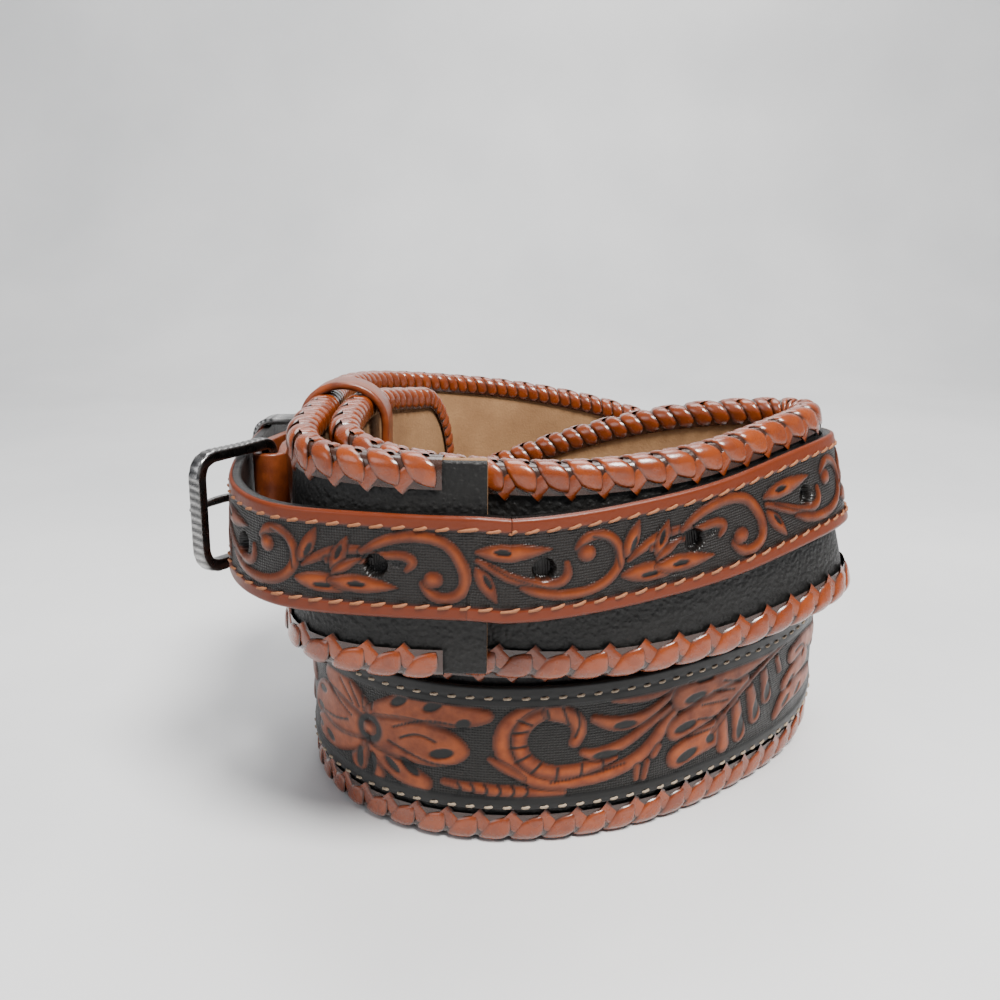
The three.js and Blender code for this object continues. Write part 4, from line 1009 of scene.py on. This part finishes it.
# The prong: a hook round the heel bar, then out through the strap to the frame's end.
def buildProng():
    hookRadius = 1.3 + size["pieceGap"] + size["prongThickness"] / 2
    angles = np.radians([-20, -55, -90, -125, -160, 165, 130, 100])
    hook = np.stack([hookRadius * 1.05 * np.cos(angles), hookRadius * 1.05 * np.sin(angles)], -1)
    rise = 1.5 + size["prongThickness"]
    top = np.array([0.94 * 20 * math.cos(swing) - rise * math.sin(swing),
                    0.94 * 20 * math.sin(swing) + rise * math.cos(swing)])
    rows = np.vstack([hook, [[1.8, hookRadius + 0.2], [3, hookRadius + 1.2], [3, hookRadius + 3.6],
                             [4.4, hookRadius + 5.8], [top[0] * 0.62, top[1] * 0.88]], top])
    spots = heelCentre + rows[:, :1] * heel["travel"] + rows[:, 1:] * heel["out"]
    points = rodPoints(spots, ([0, 0.05, 0.9, 1], [0.6, 0.88, 0.85, 0.5]))
    piece = addMesh("buckleProng", points.reshape(-1, 3), gridQuads(*points.shape[:2], loopColumns=True),
                    {"tone": np.full(points.shape[0] * points.shape[1], 0.35)})
    finishPiece(piece, gunmetal, ["buckle_prong"])


# A band round a closed path in the plane across the rail: the band's section turns with the path.
def bandRound(centre, axisOut, axisUp, axisDepth, path, wall, depth):
    heading = unit(np.roll(path, -1, 0) - np.roll(path, 1, 0))
    normal = np.stack([heading[:, 1], -heading[:, 0]], -1)
    normal *= np.sign(np.sum(normal * path))
    outline = slabOutline(depth / 2, 0, wall, min(wall * 0.45, 0.7), 4)
    spread = outline[:, 0]
    thick = outline[:, 1]
    across = path[:, None, :] + normal[:, None, :] * thick[None, :, None]
    return (centre + across[..., 0:1] * axisOut + across[..., 1:2] * axisUp
            + np.broadcast_to(spread[None, :, None], across.shape[:2] + (1,)) * axisDepth), thick, spread


# A closed superellipse path with a power of its sine and cosine.
def roundedPath(halfOut, halfUp, power, count=160):
    angle = np.linspace(0, 2 * np.pi, count, endpoint=False)
    c, s = np.cos(angle), np.sin(angle)
    return np.stack([halfOut * np.sign(c) * np.abs(c) ** power, halfUp * np.sign(s) * np.abs(s) ** power], -1)


# Metal keeper: a rounded band with rope rims.
def buildMetalKeeper():
    at = along["metalKeeper"] * beltLength
    inner = size["laceOuter"] + size["pieceGap"] + 1.6
    outer = strapRest + size["strapBulge"] + size["strapThickness"] / 2 + 2 * size["pieceGap"]
    axes = [railAt(beltRail, np.array([at]), key)[0] for key in ("out", "up", "travel")]
    path = roundedPath((outer - inner) / 2, (size["strapWidth"] + 4 * size["pieceGap"]) / 2, 0.35, 240)
    points, thick, spread = bandRound(place(beltRail, at, 0, (inner + outer) / 2), *axes, path, 1.5, 8)
    run = np.arange(len(path))[:, None]
    rope = 0.14 * (np.abs(spread)[None, :] > 2.7) * (thick[None, :] > 1) * np.sin(run * 0.9)
    tone = np.broadcast_to(np.clip(0.5 + 3 * rope, 0, 1), points.shape[:2])
    piece = addMesh("metalKeeper", points.reshape(-1, 3), gridQuads(*points.shape[:2], True, True),
                    {"tone": tone.ravel()})
    finishPiece(piece, gunmetal, ["metal_keeper"])


keeperSet = {"outer": 3.65, "inner": -11.65, "rise": 20.9, "shoulder": 13.0}


# Leather keeper: straight sides and a round top and bottom, an arch a little taller than the laced layers.
def buildLeatherKeeper():
    at = along["leatherKeeper"] * beltLength
    axes = [railAt(beltRail, np.array([at]), key)[0] for key in ("out", "up", "travel")]
    halfOut = (keeperSet["outer"] - keeperSet["inner"]) / 2
    angle = np.linspace(0, np.pi, 60)
    archHeight = (keeperSet["rise"] - keeperSet["shoulder"]) * np.sin(angle) ** 0.8
    arch = np.stack([halfOut * np.cos(angle), keeperSet["shoulder"] + archHeight], -1)
    low = np.linspace(keeperSet["shoulder"], -20.3, 20)[1:]
    left = np.stack([np.full(len(low), -halfOut), low], -1)
    floor = np.stack([np.linspace(-halfOut, halfOut, 14)[1:-1], np.full(12, -20.35)], -1)
    path = np.vstack([arch, left, floor, left[::-1] * [-1, 1]])
    for _ in range(3):
        path = (np.roll(path, 1, 0) + 2 * path + np.roll(path, -1, 0)) / 4
    centre = place(beltRail, at, 0, (keeperSet["outer"] + keeperSet["inner"]) / 2)
    points, thick, spread = bandRound(centre, *axes, path, 1.6, 9)
    # The inside face of the loop is painted darker through the cut attribute: painted shade inside the loop.
    shaded = 0.55 * (thick < 0.8) * (np.abs(spread) < 4.3)
    cut = np.broadcast_to(shaded[None, :], points.shape[:2])
    piece = addMesh("leatherKeeper", points.reshape(-1, 3), gridQuads(*points.shape[:2], True, True),
                    {"cut": cut.ravel()})
    finishPiece(piece, keeperLeather, ["leather_keeper"])


# Buckle strap: along the belt, out to the heel bar, round it and a little way back.
def buildBuckleStrap():
    rest = laceRoom + size["buckleStrapThickness"] / 2
    going = smoothRows(buckleStrapRows, 6)
    alongRows = besideBelt(going[:, 0], 0.0, rest + going[:, 1] * size["heelStandOff"])
    foldRadius = (1.3 + size["pieceGap"] + size["buckleStrapThickness"] / 2) * 1.1
    angles = np.radians([90, 50, 10, -30, -70, -90])
    turning = np.cos(angles)[:, None] * heel["travel"] + np.sin(angles)[:, None] * heel["out"]
    fold = heelCentre + foldRadius * turning
    back = np.array(buckleStrapReturn)
    backRows = besideBelt(back[:, 0], 0.0, rest + back[:, 1] * size["heelStandOff"])
    turn = smoothRows(np.vstack([alongRows[-1:], np.c_[fold, 0 * angles], backRows]), 8)
    rail = makeRail(np.vstack([alongRows, turn[1:]]))
    distance = np.arange(0.05, rail["total"], 0.5)
    outline = slabOutline(size["strapWidth"] / 2, -0.9, 0.9, 0.4, 4)
    points = place(rail, distance[:, None], outline[None, :, 0], outline[None, :, 1])
    cut = np.full(points.shape[:2], 0.25)
    piece = addMesh("buckleStrap", points.reshape(-1, 3), gridQuads(*points.shape[:2], loopColumns=True),
                    {"cut": cut.ravel()})
    finishPiece(piece, keeperLeather, ["buckle_strap"])


keeperLeather = plainLeatherMaterial("keeperLeather", (0.20, 0.040, 0.007), (0.10, 0.018, 0.004), 0.34)
buildFrame()
buildProng()
buildMetalKeeper()
buildLeatherKeeper()
buildBuckleStrap()


# floor, wall, light and camera
def buildStage():
    material, tree, shader = newMaterial("paleFloor")
    cloud = noiseSocket(tree, objectSpot(tree), 6.0, 5.0)
    tree.links.new(mixColour(tree, ramp(tree, cloud, 0.35, 0.7), (0.60, 0.605, 0.61), (0.70, 0.70, 0.70)),
                   shader.inputs["Base Color"])
    shader.inputs["Roughness"].default_value = 0.45
    spanX = np.linspace(-2500, 2500, 3)
    bend = np.radians(np.linspace(0, 90, 13))
    profile = np.vstack([[[-1500, 0]], np.stack([500 + 260 * np.sin(bend), 260 * (1 - np.cos(bend))], -1),
                         [[760, 2400]]])
    points = np.stack([np.repeat(spanX[:, None], len(profile), 1), np.repeat(profile[None, :, 0], 3, 0),
                       np.repeat(profile[None, :, 1], 3, 0)], -1)
    floor = addMesh("paleFloor", points.reshape(-1, 3), gridQuads(3, len(profile)))
    floor.data.materials.append(material)


# A round soft light turned towards a target.
def addLight(name, spot, target, width, power, colour=(1, 1, 1)):
    light = bpy.data.lights.new(name, "AREA")
    light.shape, light.size, light.energy, light.color = "DISK", width, power, colour
    lamp = bpy.data.objects.new(name, light)
    lamp.location = spot
    lamp.rotation_mode = "QUATERNION"
    lamp.rotation_quaternion = (Vector(target) - Vector(spot)).to_track_quat("-Z", "Y")
    bpy.context.scene.collection.objects.link(lamp)


buildStage()
addLight("keyLight", (0.22, -0.35, 0.75), (0, 0, 0.04), 0.3, 17.0, (1, 0.985, 0.96))
addLight("fillLight", (-0.7, -0.5, 0.5), (0, 0, 0.04), 0.6, 2.5, (0.95, 0.97, 1))
addLight("topLight", (0.0, 0.35, 0.9), (0, 0, 0.04), 0.6, 7.0)
world = bpy.data.worlds.new("studio")
bpy.context.scene.world = world
world.use_nodes = True
world.node_tree.nodes["Background"].inputs[0].default_value = (0.9, 0.93, 1, 1)
world.node_tree.nodes["Background"].inputs[1].default_value = 0.33

camera = bpy.data.cameras.new("camera")
camera.sensor_width, camera.lens = 36, 36
camera.clip_start, camera.clip_end = 0.01, 20
cameraObject = bpy.data.objects.new("camera", camera)
cameraObject.location = (-0.0080, -0.2186, 0.1138)
cameraObject.rotation_euler = (math.radians(75), 0, 0)
bpy.context.scene.collection.objects.link(cameraObject)
bpy.context.scene.camera = cameraObject
